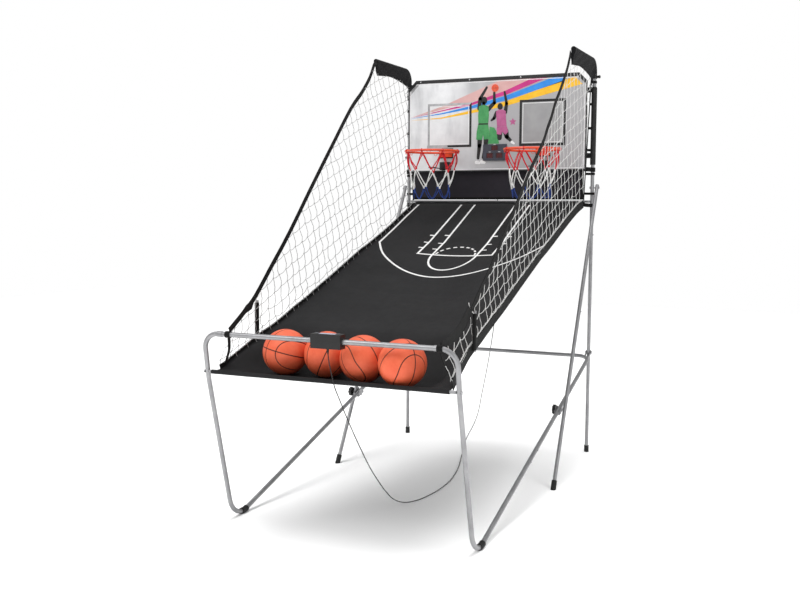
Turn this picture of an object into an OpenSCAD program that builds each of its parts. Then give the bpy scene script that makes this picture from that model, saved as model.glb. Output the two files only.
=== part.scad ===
// Two-hoop folding basketball arcade machine, in millimetres.
// The rear frame stands on four legs and carries the arms, backboard, hoops, nets and ramp.
// The front frame (front bar, front legs, struts and cross tube) folds up about the hinge bolts.
// +Z is up, the players stand at -Y, and the origin is on the floor under the middle.

/* [Frame] */
// Half width over the front legs and struts, to tube centres
frame_half = 520; // [500:1:540]
// Height of the front bar
bar_z = 778; // [740:1:800]
// Y of the front bar
bar_y = -953; // [-980:1:-940]
// Y of the vertical rear legs
rear_y = 960; // [950:1:980]
// Half width over the vertical rear legs, to tube centres
rear_half = 511; // [505:1:515]
// Height of the net arms
arm_z = 2004; // [1980:1:2040]
// Y of the tips of the net arms
arm_tip_y = 540; // [500:1:600]
// Height where the prop legs meet the rear legs
apex_z = 1370; // [1340:1:1400]
// Y of the prop legs' feet
prop_foot_y = 190; // [150:1:230]

/* [Tubes] */
// Outer radius of the front frame's tubes
front_r = 9.5; // [9:0.5:10]
// Outer radius of the rear frame's tubes
rear_r = 9; // [8.5:0.5:9]
// Wall of the tubes
wall = 1.2; // [1:0.1:1.6]

/* [Play parts] */
// Ball diameter
ball_d = 178; // [160:1:180]
// Wall of a ball
ball_wall = 2.5; // [2:0.1:4]
// Half width of the ramp fabric
ramp_half = 490; // [470:1:492]
// Radius of a rim to the middle of its rod
ring_r = 138; // [120:1:140]
// Radius of a rim's rod
ring_rod = 6; // [5:0.5:7]
// X of the middle of each rim
rim_x = 268; // [260:1:280]
// Y of the middle of each rim
rim_y = 704; // [690:1:710]
// Height of the rims
rim_z = 1555; // [1540:1:1570]

/* [Backboard] */
// Half width of the backboard
board_half = 488; // [480:1:488]
// Height of the backboard's lower edge
board_low = 1458; // [1450:1:1470]
// Height of the backboard's upper edge
board_high = 1946; // [1930:1:1950]
// Y of the backboard's front face
board_y = 902; // [900:1:904]
// Thickness of the backboard
board_t = 10; // [8:1:12]
// Size of the cut at each upper corner
board_cut = 42; // [30:1:60]

/* [Hidden] */
$fn = 48;

// Front frame: the strut line and the leg line meet at the foot vertex, in the (y, z) plane
foot_vertex = [-766, -14];
foot_bend = 95;
leg_knee = [-925, 600];
u_corner = [939, 506];
u_bend = 60;
elbow = 63;
foot_stub = 190;
u_stub = 95;
strut_dir = (u_corner - foot_vertex) / norm(u_corner - foot_vertex);
strut_tilt = atan2(strut_dir[1], strut_dir[0]);
leg_top = [bar_y, bar_z];
strut_start = foot_vertex + strut_dir * foot_stub;
strut_end = u_corner - strut_dir * u_stub;

// Hinge of the front frame on the rear legs
hinge_z = 523;
hinge_bolt_r = 4;
ear_gap = 1;
ear_t = 3;

// Rear frame
leg_top_z = 1480;
arm_bend = 60;
plug = 40;
apex_half = 535;
prop_foot_half = 549;
prop_foot = [prop_foot_half, prop_foot_y, 0];
prop_apex = [apex_half, rear_y, apex_z];
prop_dir = (prop_apex - prop_foot) / norm(prop_apex - prop_foot);
crossbar_z = 1300;
crossbar_r = 6;

// Where the strut crosses the prop leg
cross_y = 365;
cross_z = foot_vertex[1] + (cross_y - foot_vertex[0]) * strut_dir[1] / strut_dir[0];
prop_cross_x = prop_foot_half - (prop_foot_half - apex_half) * cross_z / apex_z;
// Spring pins: their distances along the tubes, and the gap that keeps each clear of its tube
pin_gap = 0.15;
prop_pin_at = 880;
rear_pin_z = 1130;
strut_pin_at = [700, 800];
saddle_len = 56;
saddle_t = 2.5;

// Tray and ramp, in the (y, z) plane: the sheet's upper face
tray_bar_at = [-933, 627];
ramp_top = [[-915, 622], [-875, 610.5], [-740, 610.5], [-520, 772], [944, 1286]];
sheet_t = 3;
ball_rest_z = 611 + ball_d / 2;
ball_at = [[-258, -785], [-80, -775], [94, -815], [269.5, -851]];

// Backboard and scorer
top_band = 18;
side_band = 4;
low_band = 6;
scorer_x = 6;
scorer_w = 128;
scorer_low = 1513;
scorer_high = 1598;
scorer_proud = 9;

// Control pod on the front bar
pod_x = [-42, 80];
pod_half_y = 21;
pod_low = 752;
pod_high = 805;

// Cable: hand-chosen points along its route from the pod to the scorer
cable_r = 2;
cable_route = [
    [19, -953, 751.5], [24, -956, 712], [36, -956, 660], [46, -950, 610], [50, -920, 560],
    [50, -876, 500], [49, -820, 430], [46, -740, 338], [40, -650, 246], [35, -560, 166],
    [31, -480, 102], [30, -400, 48], [38, -310, 11], [66, -228, 3], [83, -130, 3],
    [88, -26, 3], [81, 94, 3], [62, 212, 3], [32, 340, 3], [-6, 470, 3],
    [-44, 590, 3], [-76, 700, 7], [-98, 780, 22], [-104, 836, 48], [-92, 890, 96],
    [-79, 928, 160], [-67, 952, 262], [-46, 966, 393], [-25, 970, 527], [-8, 970, 660],
    [0, 970, 820], [0, 970, 980], [0, 970, 1140], [0, 970, 1280], [0, 972, 1400],
    [0, 972, 1470], [0, 966, 1508], [0, 953, 1527], [0, 940, 1532]
];
cable_sides = 8;
cable_steps = 2;

steel_grey = [0.55, 0.56, 0.58];
black_plastic = [0.05, 0.05, 0.05];
black_fabric = [0.1, 0.1, 0.1];
rim_orange = [0.9, 0.3, 0.1];
ball_orange = [0.85, 0.38, 0.25];

// ---------- Shared shapes ----------

function unit(v) = v / norm(v);
function turn_half(a, b, c) = acos(unit(a - b) * unit(c - b)) / 2;
function bend_cut(a, b, c, r) = r / tan(turn_half(a, b, c));
function bend_start(a, b, c, r) = b + unit(a - b) * bend_cut(a, b, c, r);
function bend_end(a, b, c, r) = b + unit(c - b) * bend_cut(a, b, c, r);
function bend_centre(a, b, c, r) =
    b + unit(unit(a - b) + unit(c - b)) * (r / sin(turn_half(a, b, c)));
function side_of(a, b, c) =
    sign((b[0] - a[0]) * (c[1] - b[1]) - (b[1] - a[1]) * (c[0] - b[0]));

// Solid rod between two points in space
module rod(a, b, r) {
    v = b - a;
    translate(a)
        rotate([0, acos(v[2] / norm(v)), atan2(v[1], v[0])])
            cylinder(h = norm(v), r = r);
}

// Hollow straight tube between two points in space
module tube(a, b, r, thick = wall) {
    over = unit(b - a);
    difference() {
        rod(a, b, r);
        rod(a - over, b + over, r - thick);
    }
}

// Solid rod along a flat path in the local XY plane, with a bend radius at each inner point
module flat_rod(path, bends, r) {
    last = len(path) - 1;
    for (i = [0:last - 1]) {
        from = i == 0 ? path[0] : bend_end(path[i - 1], path[i], path[i + 1], bends[i - 1]);
        to = i == last - 1 ? path[last]
            : bend_start(path[i], path[i + 1], path[i + 2], bends[i]);
        rod([from[0], from[1], 0], [to[0], to[1], 0], r);
    }
    for (i = [1:last - 1]) {
        middle = bend_centre(path[i - 1], path[i], path[i + 1], bends[i - 1]);
        from = bend_start(path[i - 1], path[i], path[i + 1], bends[i - 1]) - middle;
        sweep = 180 - 2 * turn_half(path[i - 1], path[i], path[i + 1]);
        way = side_of(path[i - 1], path[i], path[i + 1]);
        first = atan2(from[1], from[0]) - (way < 0 ? sweep : 0);
        translate([middle[0], middle[1], 0])
            rotate([0, 0, first])
                rotate_extrude(angle = sweep)
                    translate([bends[i - 1], 0])
                        circle(r = r);
    }
}

// Hollow tube along a flat path
module flat_tube(path, bends, r, thick = wall) {
    last = len(path) - 1;
    longer = concat(
        [path[0] - unit(path[1] - path[0])],
        [for (i = [1:last - 1]) path[i]],
        [path[last] + unit(path[last] - path[last - 1])]
    );
    difference() {
        flat_rod(path, bends, r);
        flat_rod(longer, bends, r - thick);
    }
}

// Points and directions along a route in space that has a bend at each inner point
function arc_station(middle, from, to, sweep, t) = [
    middle + (sin((1 - t) * sweep) * from + sin(t * sweep) * to) / sin(sweep),
    unit(cos(t * sweep) * to - cos((1 - t) * sweep) * from)
];
function stations(route, bends, steps) =
    let (last = len(route) - 1)
    concat(
        [[route[0], unit(route[1] - route[0])]],
        [for (i = [1:last - 1])
            let (
                a = route[i - 1], b = route[i], c = route[i + 1], r = bends[i - 1],
                middle = bend_centre(a, b, c, r), sweep = 180 - 2 * turn_half(a, b, c),
                from = bend_start(a, b, c, r) - middle, to = bend_end(a, b, c, r) - middle
            )
            for (k = [0:steps[i - 1]])
                arc_station(middle, from, to, sweep, k / steps[i - 1])],
        [[route[last], unit(route[last] - route[last - 1])]]
    );

// Corners of one ring across a station, turned from a direction the route never takes
function ring(station, r, sides, across) =
    let (u = unit(cross(station[1], across)), v = cross(station[1], u))
    [for (k = [0:sides - 1])
        station[0] + r * (cos(360 * k / sides) * u + sin(360 * k / sides) * v)];
function quads(rings, n, first, way) = [
    for (i = [0:rings - 2]) for (k = [0:n - 1])
        let (a = first + i * n + k, b = first + i * n + (k + 1) % n)
        way > 0 ? [a, a + n, b + n, b] : [a, b, b + n, a + n]
];

module swept_rod(along, r, sides, across) {
    rings = len(along);
    polyhedron(
        points = [for (at = along) each ring(at, r, sides, across)],
        faces = concat(
            quads(rings, sides, 0, 1),
            [[for (k = [0:sides - 1]) k]],
            [[for (k = [sides - 1:-1:0]) (rings - 1) * sides + k]]
        )
    );
}

module swept_tube(along, r, thick, n = 24, across = [1, 1, 0.3]) {
    rings = len(along);
    inner = rings * n;
    low_rim = [for (k = [0:n - 1]) [k, (k + 1) % n, inner + (k + 1) % n, inner + k]];
    high_rim = [for (k = [0:n - 1])
        [inner - n + k, 2 * inner - n + k, 2 * inner - n + (k + 1) % n, inner - n + (k + 1) % n]];
    polyhedron(
        points = concat(
            [for (at = along) each ring(at, r, n, across)],
            [for (at = along) each ring(at, r - thick, n, across)]
        ),
        faces = concat(quads(rings, n, 0, 1), quads(rings, n, inner, -1), low_rim, high_rim)
    );
}

// Turns a flat XY drawing into one standing in the YZ plane, at distance x
module side_plane(x) {
    translate([x, 0, 0])
        rotate([90, 0, 90])
            children();
}

module both_sides() {
    children();
    mirror([1, 0, 0])
        children();
}

// Bolt along X with a round head at the outer end and a nut at the inner end
module cross_bolt(x0, x1, y, z, r = 3, head = 6) {
    translate([x0, y, z])
        rotate([0, 90, 0]) {
            cylinder(h = x1 - x0, r = r);
            translate([0, 0, x1 - x0])
                cylinder(h = 3, r = head);
            translate([0, 0, -4])
                cylinder(h = 4, r = head, $fn = 6);
        }
}

// ---------- Rear frame ----------

module rear_leg(s) {
    color(steel_grey)
        difference() {
            tube([s * rear_half, rear_y, 4], [s * rear_half, rear_y, leg_top_z], rear_r);
            for (z = [hinge_z, apex_z])
                translate([s * rear_half, rear_y, z])
                    rotate([0, 90, 0])
                        cylinder(h = 40, r = hinge_bolt_r, center = true);
            translate([s * rear_half, rear_y, crossbar_z])
                rotate([0, 90, 0])
                    cylinder(h = 40, r = 3, center = true);
        }
}
module rear_leg_l() { rear_leg(-1); }
module rear_leg_r() { rear_leg(1); }

module upright(s) {
    path = [[rear_y, leg_top_z], [rear_y, arm_z], [arm_tip_y, arm_z]];
    color(steel_grey) {
        side_plane(s * rear_half)
            flat_tube(path, [arm_bend], rear_r);
        difference() {
            translate([s * rear_half, rear_y, leg_top_z - plug])
                cylinder(h = plug + 6, r = rear_r - wall);
            translate([s * rear_half, rear_y, leg_top_z - plug - 1])
                cylinder(h = plug + 8, r = rear_r - 2 * wall);
        }
    }
}
module upright_l() { upright(-1); }
module upright_r() { upright(1); }

module prop_leg(s) {
    low = prop_foot + prop_dir * 8;
    high = prop_apex + prop_dir * 16;
    color(steel_grey)
        difference() {
            tube([s * low[0], low[1], low[2]], [s * high[0], high[1], high[2]], rear_r);
            if (s < 0)
                stud_hole(s);
            translate([s * apex_half, rear_y, apex_z])
                rotate([0, 90, 0])
                    cylinder(h = 40, r = hinge_bolt_r, center = true);
        }
}
module prop_leg_l() { prop_leg(-1); }
module prop_leg_r() { prop_leg(1); }

module foot_caps() {
    color(black_plastic)
        both_sides() {
            difference() {
                translate([rear_half, rear_y, 0])
                    cylinder(h = 34, r = rear_r + 3);
                translate([rear_half, rear_y, 4])
                    cylinder(h = 40, r = rear_r);
            }
            difference() {
                rod(prop_foot - prop_dir * 12, prop_foot + prop_dir * 42, rear_r + 3);
                rod(prop_foot + prop_dir * 8, prop_foot + prop_dir * 50, rear_r);
                translate([prop_foot_half - 50, prop_foot_y - 50, -50])
                    cube([100, 100, 50]);
            }
        }
}

module frame_bolts() {
    color("silver")
        both_sides() {
            cross_bolt(
                rear_half - rear_r - ear_gap - ear_t - 1,
                rear_half + rear_r + ear_gap + ear_t + 1,
                rear_y, hinge_z, hinge_bolt_r, 7
            );
            cross_bolt(rear_half - rear_r, apex_half + rear_r, rear_y, apex_z, hinge_bolt_r, 7);
            translate([rear_half + rear_r, rear_y, crossbar_z])
                rotate([0, 90, 0])
                    cylinder(h = 3, r = 6);
            translate([rear_half - rear_r, rear_y, crossbar_z])
                rotate([0, 90, 0])
                    cylinder(h = 2 * rear_r, r = 3);
        }
}

// Spring pins that lock the sleeved joints of the legs, as domes on the outer side
module leg_pins() {
    prop_pin = prop_foot + prop_dir * prop_pin_at;
    color("silver")
        both_sides() {
            translate([prop_pin[0] + rear_r + pin_gap, prop_pin[1], prop_pin[2]])
                rotate([0, 90, 0])
                    cylinder(h = 3, r = 3);
            translate([rear_half + rear_r + pin_gap, rear_y, rear_pin_z])
                rotate([0, 90, 0])
                    cylinder(h = 3, r = 3);
        }
}

// Open-topped saddle on each prop leg, which the strut lies in
module saddle() {
    inside = front_r + 0.8;
    channel_low = inside + saddle_t;
    side_plane(frame_half - inside - saddle_t)
        translate([cross_y, cross_z])
            rotate([0, 0, strut_tilt])
                linear_extrude(saddle_t)
                    union() {
                        translate([-saddle_len / 2, -channel_low])
                            square([saddle_len, 2 * channel_low - 6]);
                        circle(r = 17);
                    }
    side_plane(frame_half + inside)
        translate([cross_y, cross_z])
            rotate([0, 0, strut_tilt])
                linear_extrude(saddle_t)
                    translate([-saddle_len / 2, -channel_low])
                        square([saddle_len, 2 * channel_low]);
    side_plane(frame_half - inside - saddle_t)
        translate([cross_y, cross_z])
            rotate([0, 0, strut_tilt])
                linear_extrude(2 * inside + 2 * saddle_t)
                    translate([-saddle_len / 2, -channel_low])
                        square([saddle_len, saddle_t]);
    boss_start = frame_half + inside + saddle_t - 0.5;
    translate([boss_start, cross_y, cross_z])
        rotate([0, 90, 0])
            cylinder(h = prop_cross_x - rear_r - 0.2 - boss_start, r = 6);
}

// Clearance hole for a clamp knob's stud: the right one is inside, the left one outside
module stud_hole(s) {
    long = s > 0 ? 16 : 38;
    translate([s > 0 ? frame_half - 24 : -frame_half - front_r - long, cross_y, cross_z])
        rotate([0, 90, 0])
            cylinder(h = long, r = 4.2);
}

module lock_brackets() {
    color(steel_grey) {
        difference() {
            saddle();
            stud_hole(1);
        }
        difference() {
            mirror([1, 0, 0])
                saddle();
            stud_hole(-1);
        }
    }
}

module ramp_crossbar() {
    color(steel_grey)
        tube(
            [rear_r - rear_half, rear_y, crossbar_z],
            [rear_half - rear_r, rear_y, crossbar_z], crossbar_r, 1
        );
}

// ---------- Fabric parts ----------

// Slab of even thickness below a profile in the YZ plane
module ramp_sheet() {
    count = len(ramp_top);
    low = [for (i = [count - 1:-1:0]) ramp_top[i] - [0, sheet_t]];
    color(black_fabric)
        side_plane(-ramp_half)
            linear_extrude(2 * ramp_half)
                polygon(concat(ramp_top, low));
}

module back_panel() {
    color(black_fabric)
        translate([-474, 930, 1309])
            cube([948, 2, 191]);
}

// Straps that tie the back panel's upper corners to the uprights
module panel_straps() {
    color(black_fabric)
        both_sides() {
            translate([475, 930, 1452])
                cube([rear_half + rear_r - 475, 2, 22]);
            difference() {
                translate([rear_half, rear_y, 1452])
                    cylinder(h = 22, r = rear_r + 2);
                translate([rear_half, rear_y, 1451])
                    cylinder(h = 24, r = rear_r);
            }
            translate([rear_half + rear_r, 931, 1452])
                cube([2, 29, 22]);
        }
}

// Each net's front edge and lower edge as [y, z]; the net leans in towards the front bar
net_curve = [
    [-892, 792], [-860, 797], [-800, 830], [-740, 872], [-630, 974], [-480, 1124], [-300, 1299],
    [-100, 1476], [100, 1642], [320, 1785], [400, 1837], [460, 1897], [512, 1960]
];
net_corners = [[527, 1916], [928, 1916]];
net_foot = [[-862, 658], [-849, 656], [-639, 716], [-520, 764], [928, 1291]];
net_x = 497.5;
net_high_x = 500;
net_lean = 42;
net_t = 2;
edge_w = 24;
edge_t = 3;
edge_gap = 0.4;

function lean_x(y) =
    y > 480 ? net_high_x : net_high_x - net_lean * (480 - y) / (480 - bar_y);
function net_normal(i) =
    let (
        before = net_curve[max(0, i - 1)], after = net_curve[min(len(net_curve) - 1, i + 1)],
        slope = unit(after - before)
    )
    [slope[1], -slope[0]];
function off_curve(i, away) =
    let (at = net_curve[i] + net_normal(i) * away)
    [lean_x(net_curve[i][0]), at[0], at[1]];

// Thin sheet between two lists of points of equal length, centred on them along X
module leaning_sheet(top, bottom, thick) {
    last = len(top) - 1;
    half = [thick / 2, 0, 0];
    polyhedron(
        points = [for (i = [0:last])
            each [top[i] - half, bottom[i] - half, top[i] + half, bottom[i] + half]],
        faces = concat(
            [for (i = [0:last - 1])
                let (a = 4 * i, b = 4 * i + 4)
                each [
                    [a + 1, b + 1, b], [a + 1, b, a],
                    [a + 3, a + 2, b + 2], [a + 3, b + 2, b + 3],
                    [a, b, b + 2, a + 2], [a + 1, a + 3, b + 3, b + 1]
                ]],
            [[1, 0, 2, 3], [4 * last + 1, 4 * last + 3, 4 * last + 2, 4 * last]]
        )
    );
}

module side_net(s) {
    top = concat(
        [for (i = [0:len(net_curve) - 1]) off_curve(i, edge_w / 2 + edge_gap)],
        [for (at = net_corners) [net_high_x, at[0], at[1]]]
    );
    last = len(top) - 1;
    span = net_foot[len(net_foot) - 1][0] - net_foot[0][0];
    bottom = [for (at = top)
        let (y = net_foot[0][0] + span * (at[1] - top[0][1]) / (top[last][1] - top[0][1]))
        [net_x, y, lookup(y, net_foot)]];
    color("white")
        mirror([s < 0 ? 1 : 0, 0, 0])
            leaning_sheet(top, bottom, net_t);
}
module side_net_l() { side_net(-1); }
module side_net_r() { side_net(1); }

// Webbing along the front edge of each net
module net_edge(s) {
    count = len(net_curve);
    color(black_fabric)
        mirror([s < 0 ? 1 : 0, 0, 0])
            leaning_sheet(
                [for (i = [0:count - 1]) off_curve(i, -edge_w / 2)],
                [for (i = [0:count - 1]) off_curve(i, edge_w / 2)], edge_t
            );
}
module net_edge_l() { net_edge(-1); }
module net_edge_r() { net_edge(1); }

// Short battens that hold the nets' lower front corners up
module net_posts() {
    color(steel_grey)
        both_sides()
            tube([490.5, -592, 725], [475, -592, 884], 5, 1);
}

// Fabric pocket over each net arm
module arm_hood(s) {
    outline = [
        [arm_tip_y - 6, arm_z + 12], [arm_tip_y - 6, arm_z - 66], [arm_tip_y + 150, arm_z - 52],
        [rear_y - 60, arm_z - 78], [rear_y - 30, arm_z - 84], [rear_y + 12, arm_z - 78],
        [rear_y + 12, arm_z - 50], [rear_y - 8, arm_z - 8], [rear_y - 48, arm_z + 12]
    ];
    path = [[rear_y, leg_top_z], [rear_y, arm_z], [arm_tip_y, arm_z]];
    hood_half = rear_r + 2.5;
    color(black_fabric)
        difference() {
            side_plane(s * rear_half - hood_half)
                linear_extrude(2 * hood_half)
                    polygon(outline);
            side_plane(s * rear_half)
                flat_rod(path, [arm_bend], rear_r + 0.2);
        }
}
module arm_hood_l() { arm_hood(-1); }
module arm_hood_r() { arm_hood(1); }

// ---------- Backboard and hoops ----------

module board_outline(cut, half, low, high) {
    polygon([
        [-half, low], [half, low], [half, high - cut],
        [half - cut, high], [cut - half, high], [-half, high - cut]
    ]);
}

// Stands a flat XY drawing up in the XZ plane, reaching from y towards the back
module facing(y, thick) {
    translate([0, y + thick, 0])
        rotate([90, 0, 0])
            linear_extrude(thick)
                children();
}

module backboard_panel() {
    color("gainsboro")
        facing(board_y, board_t)
            difference() {
                board_outline(board_cut, board_half - side_band,
                    board_low + low_band, board_high - top_band);
                translate([scorer_x - scorer_w / 2, scorer_low])
                    square([scorer_w, scorer_high - scorer_low]);
                for (side = [-1, 1], x = [-mount_bolt_x, mount_bolt_x])
                    translate([side * rim_x + x, rim_z])
                        circle(r = 3.2);
            }
}

module backboard_trim() {
    color(black_plastic)
        facing(board_y - 2, board_t + 4)
            difference() {
                board_outline(board_cut, board_half, board_low, board_high);
                board_outline(board_cut, board_half - side_band,
                    board_low + low_band, board_high - top_band);
            }
}

// Clips from the board's back to the uprights
module board_brackets() {
    back = board_y + board_t;
    color(black_plastic)
        both_sides()
            for (z = [1520, 1850])
                difference() {
                    union() {
                        translate([rear_half, rear_y, z])
                            cylinder(h = 26, r = rear_r + 3);
                        translate([430, back + 2, z])
                            cube([48, 4, 26]);
                        translate([472, back + 2, z])
                            cube([5, rear_y - back - 2, 26]);
                        translate([472, rear_y - 5, z])
                            cube([rear_half - 472, 5, 26]);
                    }
                    translate([rear_half, rear_y, z - 1])
                        cylinder(h = 28, r = rear_r);
                }
}

module rim(s) {
    gap = board_y - 7 - rim_y;
    color(rim_orange)
        translate([s * rim_x, rim_y, rim_z]) {
            rotate_extrude($fn = 96)
                translate([ring_r, 0])
                    circle(r = ring_rod);
            // Two stays and a plate that bolts to the mount
            for (x = [-26, 26])
                translate([x - 4, sqrt(ring_r * ring_r - x * x), -4])
                    cube([8, gap - sqrt(ring_r * ring_r - x * x), 8]);
            translate([-36, gap - 4, -20])
                cube([72, 4, 40]);
        }
}
module rim_l() { rim(-1); }
module rim_r() { rim(1); }

mount_y = board_y - 7;
mount_bolt_x = 24;

// Block and bolts that hold each rim on the backboard
module rim_mounts() {
    color(black_plastic)
        both_sides() {
            translate([rim_x - 40, mount_y, rim_z - 26])
                cube([80, 5, 52]);
            for (x = [-mount_bolt_x, mount_bolt_x])
                translate([rim_x + x, board_y + board_t + 5, rim_z])
                    rotate([90, 0, 0])
                        cylinder(h = board_t + 7.5, r = 3);
            for (x = [-mount_bolt_x, mount_bolt_x])
                translate([rim_x + x, board_y + board_t + 4, rim_z])
                    rotate([90, 0, 0])
                        cylinder(h = 4, r = 6, $fn = 6);
        }
}

// Soft net of each hoop, with a slot at the back for the paddle's arm
module hoop_net(s) {
    outer = [[133, -8], [113, -90], [95, -170], [87, -250]];
    inner = [for (i = [len(outer) - 1:-1:0]) outer[i] - [2, 0]];
    color("white")
        translate([s * rim_x, rim_y, rim_z])
            difference() {
                rotate_extrude($fn = 64)
                    polygon(concat(outer, inner));
                translate([-16, 0, -190])
                    cube([32, 160, 116]);
            }
}
module hoop_net_l() { hoop_net(-1); }
module hoop_net_r() { hoop_net(1); }

paddle_y = 862;
paddle_z = 1472;
pin_r = 1.5;

// Box of each score sensor, with a fork and pin for the paddle
module sensor_boxes() {
    color(black_plastic)
        both_sides() {
            difference() {
                translate([rim_x - 27, board_y - 30, 1466])
                    cube([54, 30, 42]);
                translate([rim_x - 25, board_y - 28, 1468])
                    cube([50, 29, 38]);
            }
            for (x = [-14, 11])
                translate([rim_x + x, paddle_y - 5, paddle_z - 5])
                    cube([3, board_y - 30 - paddle_y + 5, 10]);
            translate([rim_x - 14, paddle_y, paddle_z])
                rotate([0, 90, 0])
                    cylinder(h = 28, r = pin_r);
        }
}

module sensor_paddle(s) {
    color(black_plastic)
        translate([s * rim_x, paddle_y, paddle_z]) {
            difference() {
                union() {
                    translate([-10, 0, 0])
                        rotate([0, 90, 0])
                            cylinder(h = 20, r = 4);
                    translate([-6, rim_y - paddle_y + 10, -2])
                        cube([12, paddle_y - rim_y - 10, 4]);
                }
                translate([-11, 0, 0])
                    rotate([0, 90, 0])
                        cylinder(h = 22, r = pin_r + 0.05);
            }
            translate([0, rim_y - paddle_y, -2])
                cylinder(h = 4, r = 19);
        }
}
module sensor_paddle_l() { sensor_paddle(-1); }
module sensor_paddle_r() { sensor_paddle(1); }

// ---------- Scorer ----------

display_size = [34, 26];
display_at = [[0, 1578], [-26, 1539], [26, 1539]];
scorer_front = board_y - scorer_proud;
scorer_rear = board_y + 22;

module display_squares(grow) {
    for (at = display_at)
        translate([scorer_x + at[0] - display_size[0] / 2 - grow, at[1] - display_size[1] / 2 - grow])
            square(display_size + [2 * grow, 2 * grow]);
}

module scorer_housing() {
    inner_low = scorer_low + 2.5;
    color([0.16, 0.16, 0.18])
        difference() {
            translate([scorer_x - scorer_w / 2 + 0.2, scorer_front, scorer_low + 0.2])
                cube([scorer_w - 0.4, scorer_rear - scorer_front, scorer_high - scorer_low - 0.4]);
            translate([scorer_x - scorer_w / 2 + 2.5, scorer_front + 2.5, inner_low])
                cube([scorer_w - 5, scorer_rear - scorer_front, scorer_high - scorer_low - 5]);
            facing(scorer_front - 1, 5)
                display_squares(0.2);
        }
}

module scorer_back() {
    color([0.12, 0.12, 0.13])
        difference() {
            union() {
                translate([scorer_x - scorer_w / 2, scorer_rear, scorer_low])
                    cube([scorer_w, 2.5, scorer_high - scorer_low]);
                translate([0, 940, 1532])
                    rotate([90, 0, 0])
                        cylinder(h = 940 - scorer_rear - 1, r = 5);
            }
            for (x = [-46, -40, -34, 34, 40, 46])
                translate([scorer_x + x - 1, scorer_rear - 1, 1570])
                    cube([2, 5, 18]);
        }
}

module scorer_displays() {
    color([0.3, 0.02, 0.03])
        facing(scorer_front + 0.6, 6.4)
            display_squares(0);
}

module scorer_board() {
    color("darkgreen")
        facing(scorer_front + 7.2, 1.6)
            translate([scorer_x - 58, scorer_low + 6])
                square([116, scorer_high - scorer_low - 12]);
}

module scorer_speaker() {
    color(black_plastic)
        translate([scorer_x - 40, scorer_rear - 0.4, 1560])
            rotate([90, 0, 0]) {
                cylinder(h = 3, r = 16);
                cylinder(h = 9, r = 9);
            }
}

module battery_pack() {
    color([0.2, 0.2, 0.2])
        translate([scorer_x - 16, scorer_rear - 18, 1526])
            cube([62, 16, 48]);
}

// ---------- Cable ----------

function route_at(i) = cable_route[max(0, min(len(cable_route) - 1, i))];
function smooth(a, b, c, d, t) =
    0.5 * ((2 * b) + (c - a) * t + (2 * a - 5 * b + 4 * c - d) * t * t
        + (3 * b - a - 3 * c + d) * t * t * t);
function route_points() = [
    for (i = [0:len(cable_route) - 2])
        for (k = [0:cable_steps - 1])
            smooth(route_at(i - 1), route_at(i), route_at(i + 1), route_at(i + 2), k / cable_steps),
    cable_route[len(cable_route) - 1]
];
module cable() {
    points = route_points();
    last = len(points) - 1;
    along = [for (i = [0:last])
        [points[i], unit(points[min(last, i + 1)] - points[max(0, i - 1)])]];
    color(black_plastic)
        swept_rod(along, cable_r, cable_sides, [1, 0, 0]);
}

// ---------- Clamp knobs ----------

// Lobed knob with its stud pointing along +X
module knob(stud) {
    color(black_plastic)
        rotate([0, 90, 0]) {
            linear_extrude(14)
                union() {
                    circle(r = 19);
                    for (a = [0:45:315])
                        rotate([0, 0, a])
                            translate([18, 0])
                                circle(r = 5);
                }
            translate([0, 0, 13])
                cylinder(h = stud + 1, r = 4);
        }
}

module clamp_knob_l() {
    leg_side = -prop_cross_x - rear_r - 0.7;
    translate([leg_side - 14, cross_y, cross_z])
        knob(-frame_half - front_r - 0.4 - leg_side);
}

module clamp_knob_r() {
    wall_side = frame_half - front_r - 0.8 - saddle_t;
    translate([wall_side - 14.4, cross_y, cross_z])
        knob(0.4 + saddle_t + 0.4);
}

// ---------- Front frame ----------

module front_bar() {
    color(steel_grey)
        tube([elbow - frame_half, bar_y, bar_z], [frame_half - elbow, bar_y, bar_z], front_r);
}

module bar_collars() {
    edge = frame_half - elbow;
    color("gray")
        both_sides()
            difference() {
                rod([edge - 22, bar_y, bar_z], [edge, bar_y, bar_z], front_r + 1.6);
                rod([edge - 23, bar_y, bar_z], [edge + 1, bar_y, bar_z], front_r);
            }
}

// One bent tube: the elbow from the front bar, the leg, its slight knee and the foot bend
module front_leg(s) {
    route = [
        [frame_half - elbow, leg_top[0], leg_top[1]], [frame_half, leg_top[0], leg_top[1]],
        [frame_half, leg_knee[0], leg_knee[1]], [frame_half, foot_vertex[0], foot_vertex[1]],
        [frame_half, strut_start[0], strut_start[1]]
    ];
    color(steel_grey)
        mirror([s < 0 ? 1 : 0, 0, 0])
            swept_tube(stations(route, [elbow, 300, foot_bend], [8, 3, 10]), front_r, wall);
}
module front_leg_l() { front_leg(-1); }
module front_leg_r() { front_leg(1); }

// Rubber pads round the lowest part of the foot bends
module foot_pads() {
    middle = bend_centre(leg_knee, foot_vertex, u_corner, foot_bend);
    color(black_plastic)
        both_sides()
            difference() {
                side_plane(frame_half)
                    translate(middle)
                        rotate([0, 0, 262])
                            rotate_extrude(angle = 26)
                                translate([foot_bend, 0])
                                    difference() {
                                        circle(r = front_r + 3.5);
                                        circle(r = front_r + 0.4);
                                    }
                translate([frame_half - 30, middle[0] - 100, -40])
                    cube([60, 200, 40]);
            }
}

module strut(s) {
    color(steel_grey) {
        difference() {
            side_plane(s * frame_half)
                rod_2d(strut_start, strut_end, front_r);
            side_plane(s * frame_half)
                rod_2d(strut_start - strut_dir, strut_end + strut_dir, front_r - wall);
        }
    }
}
module rod_2d(a, b, r) {
    rod([a[0], a[1], 0], [b[0], b[1], 0], r);
}
module strut_l() { strut(-1); }
module strut_r() { strut(1); }

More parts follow.
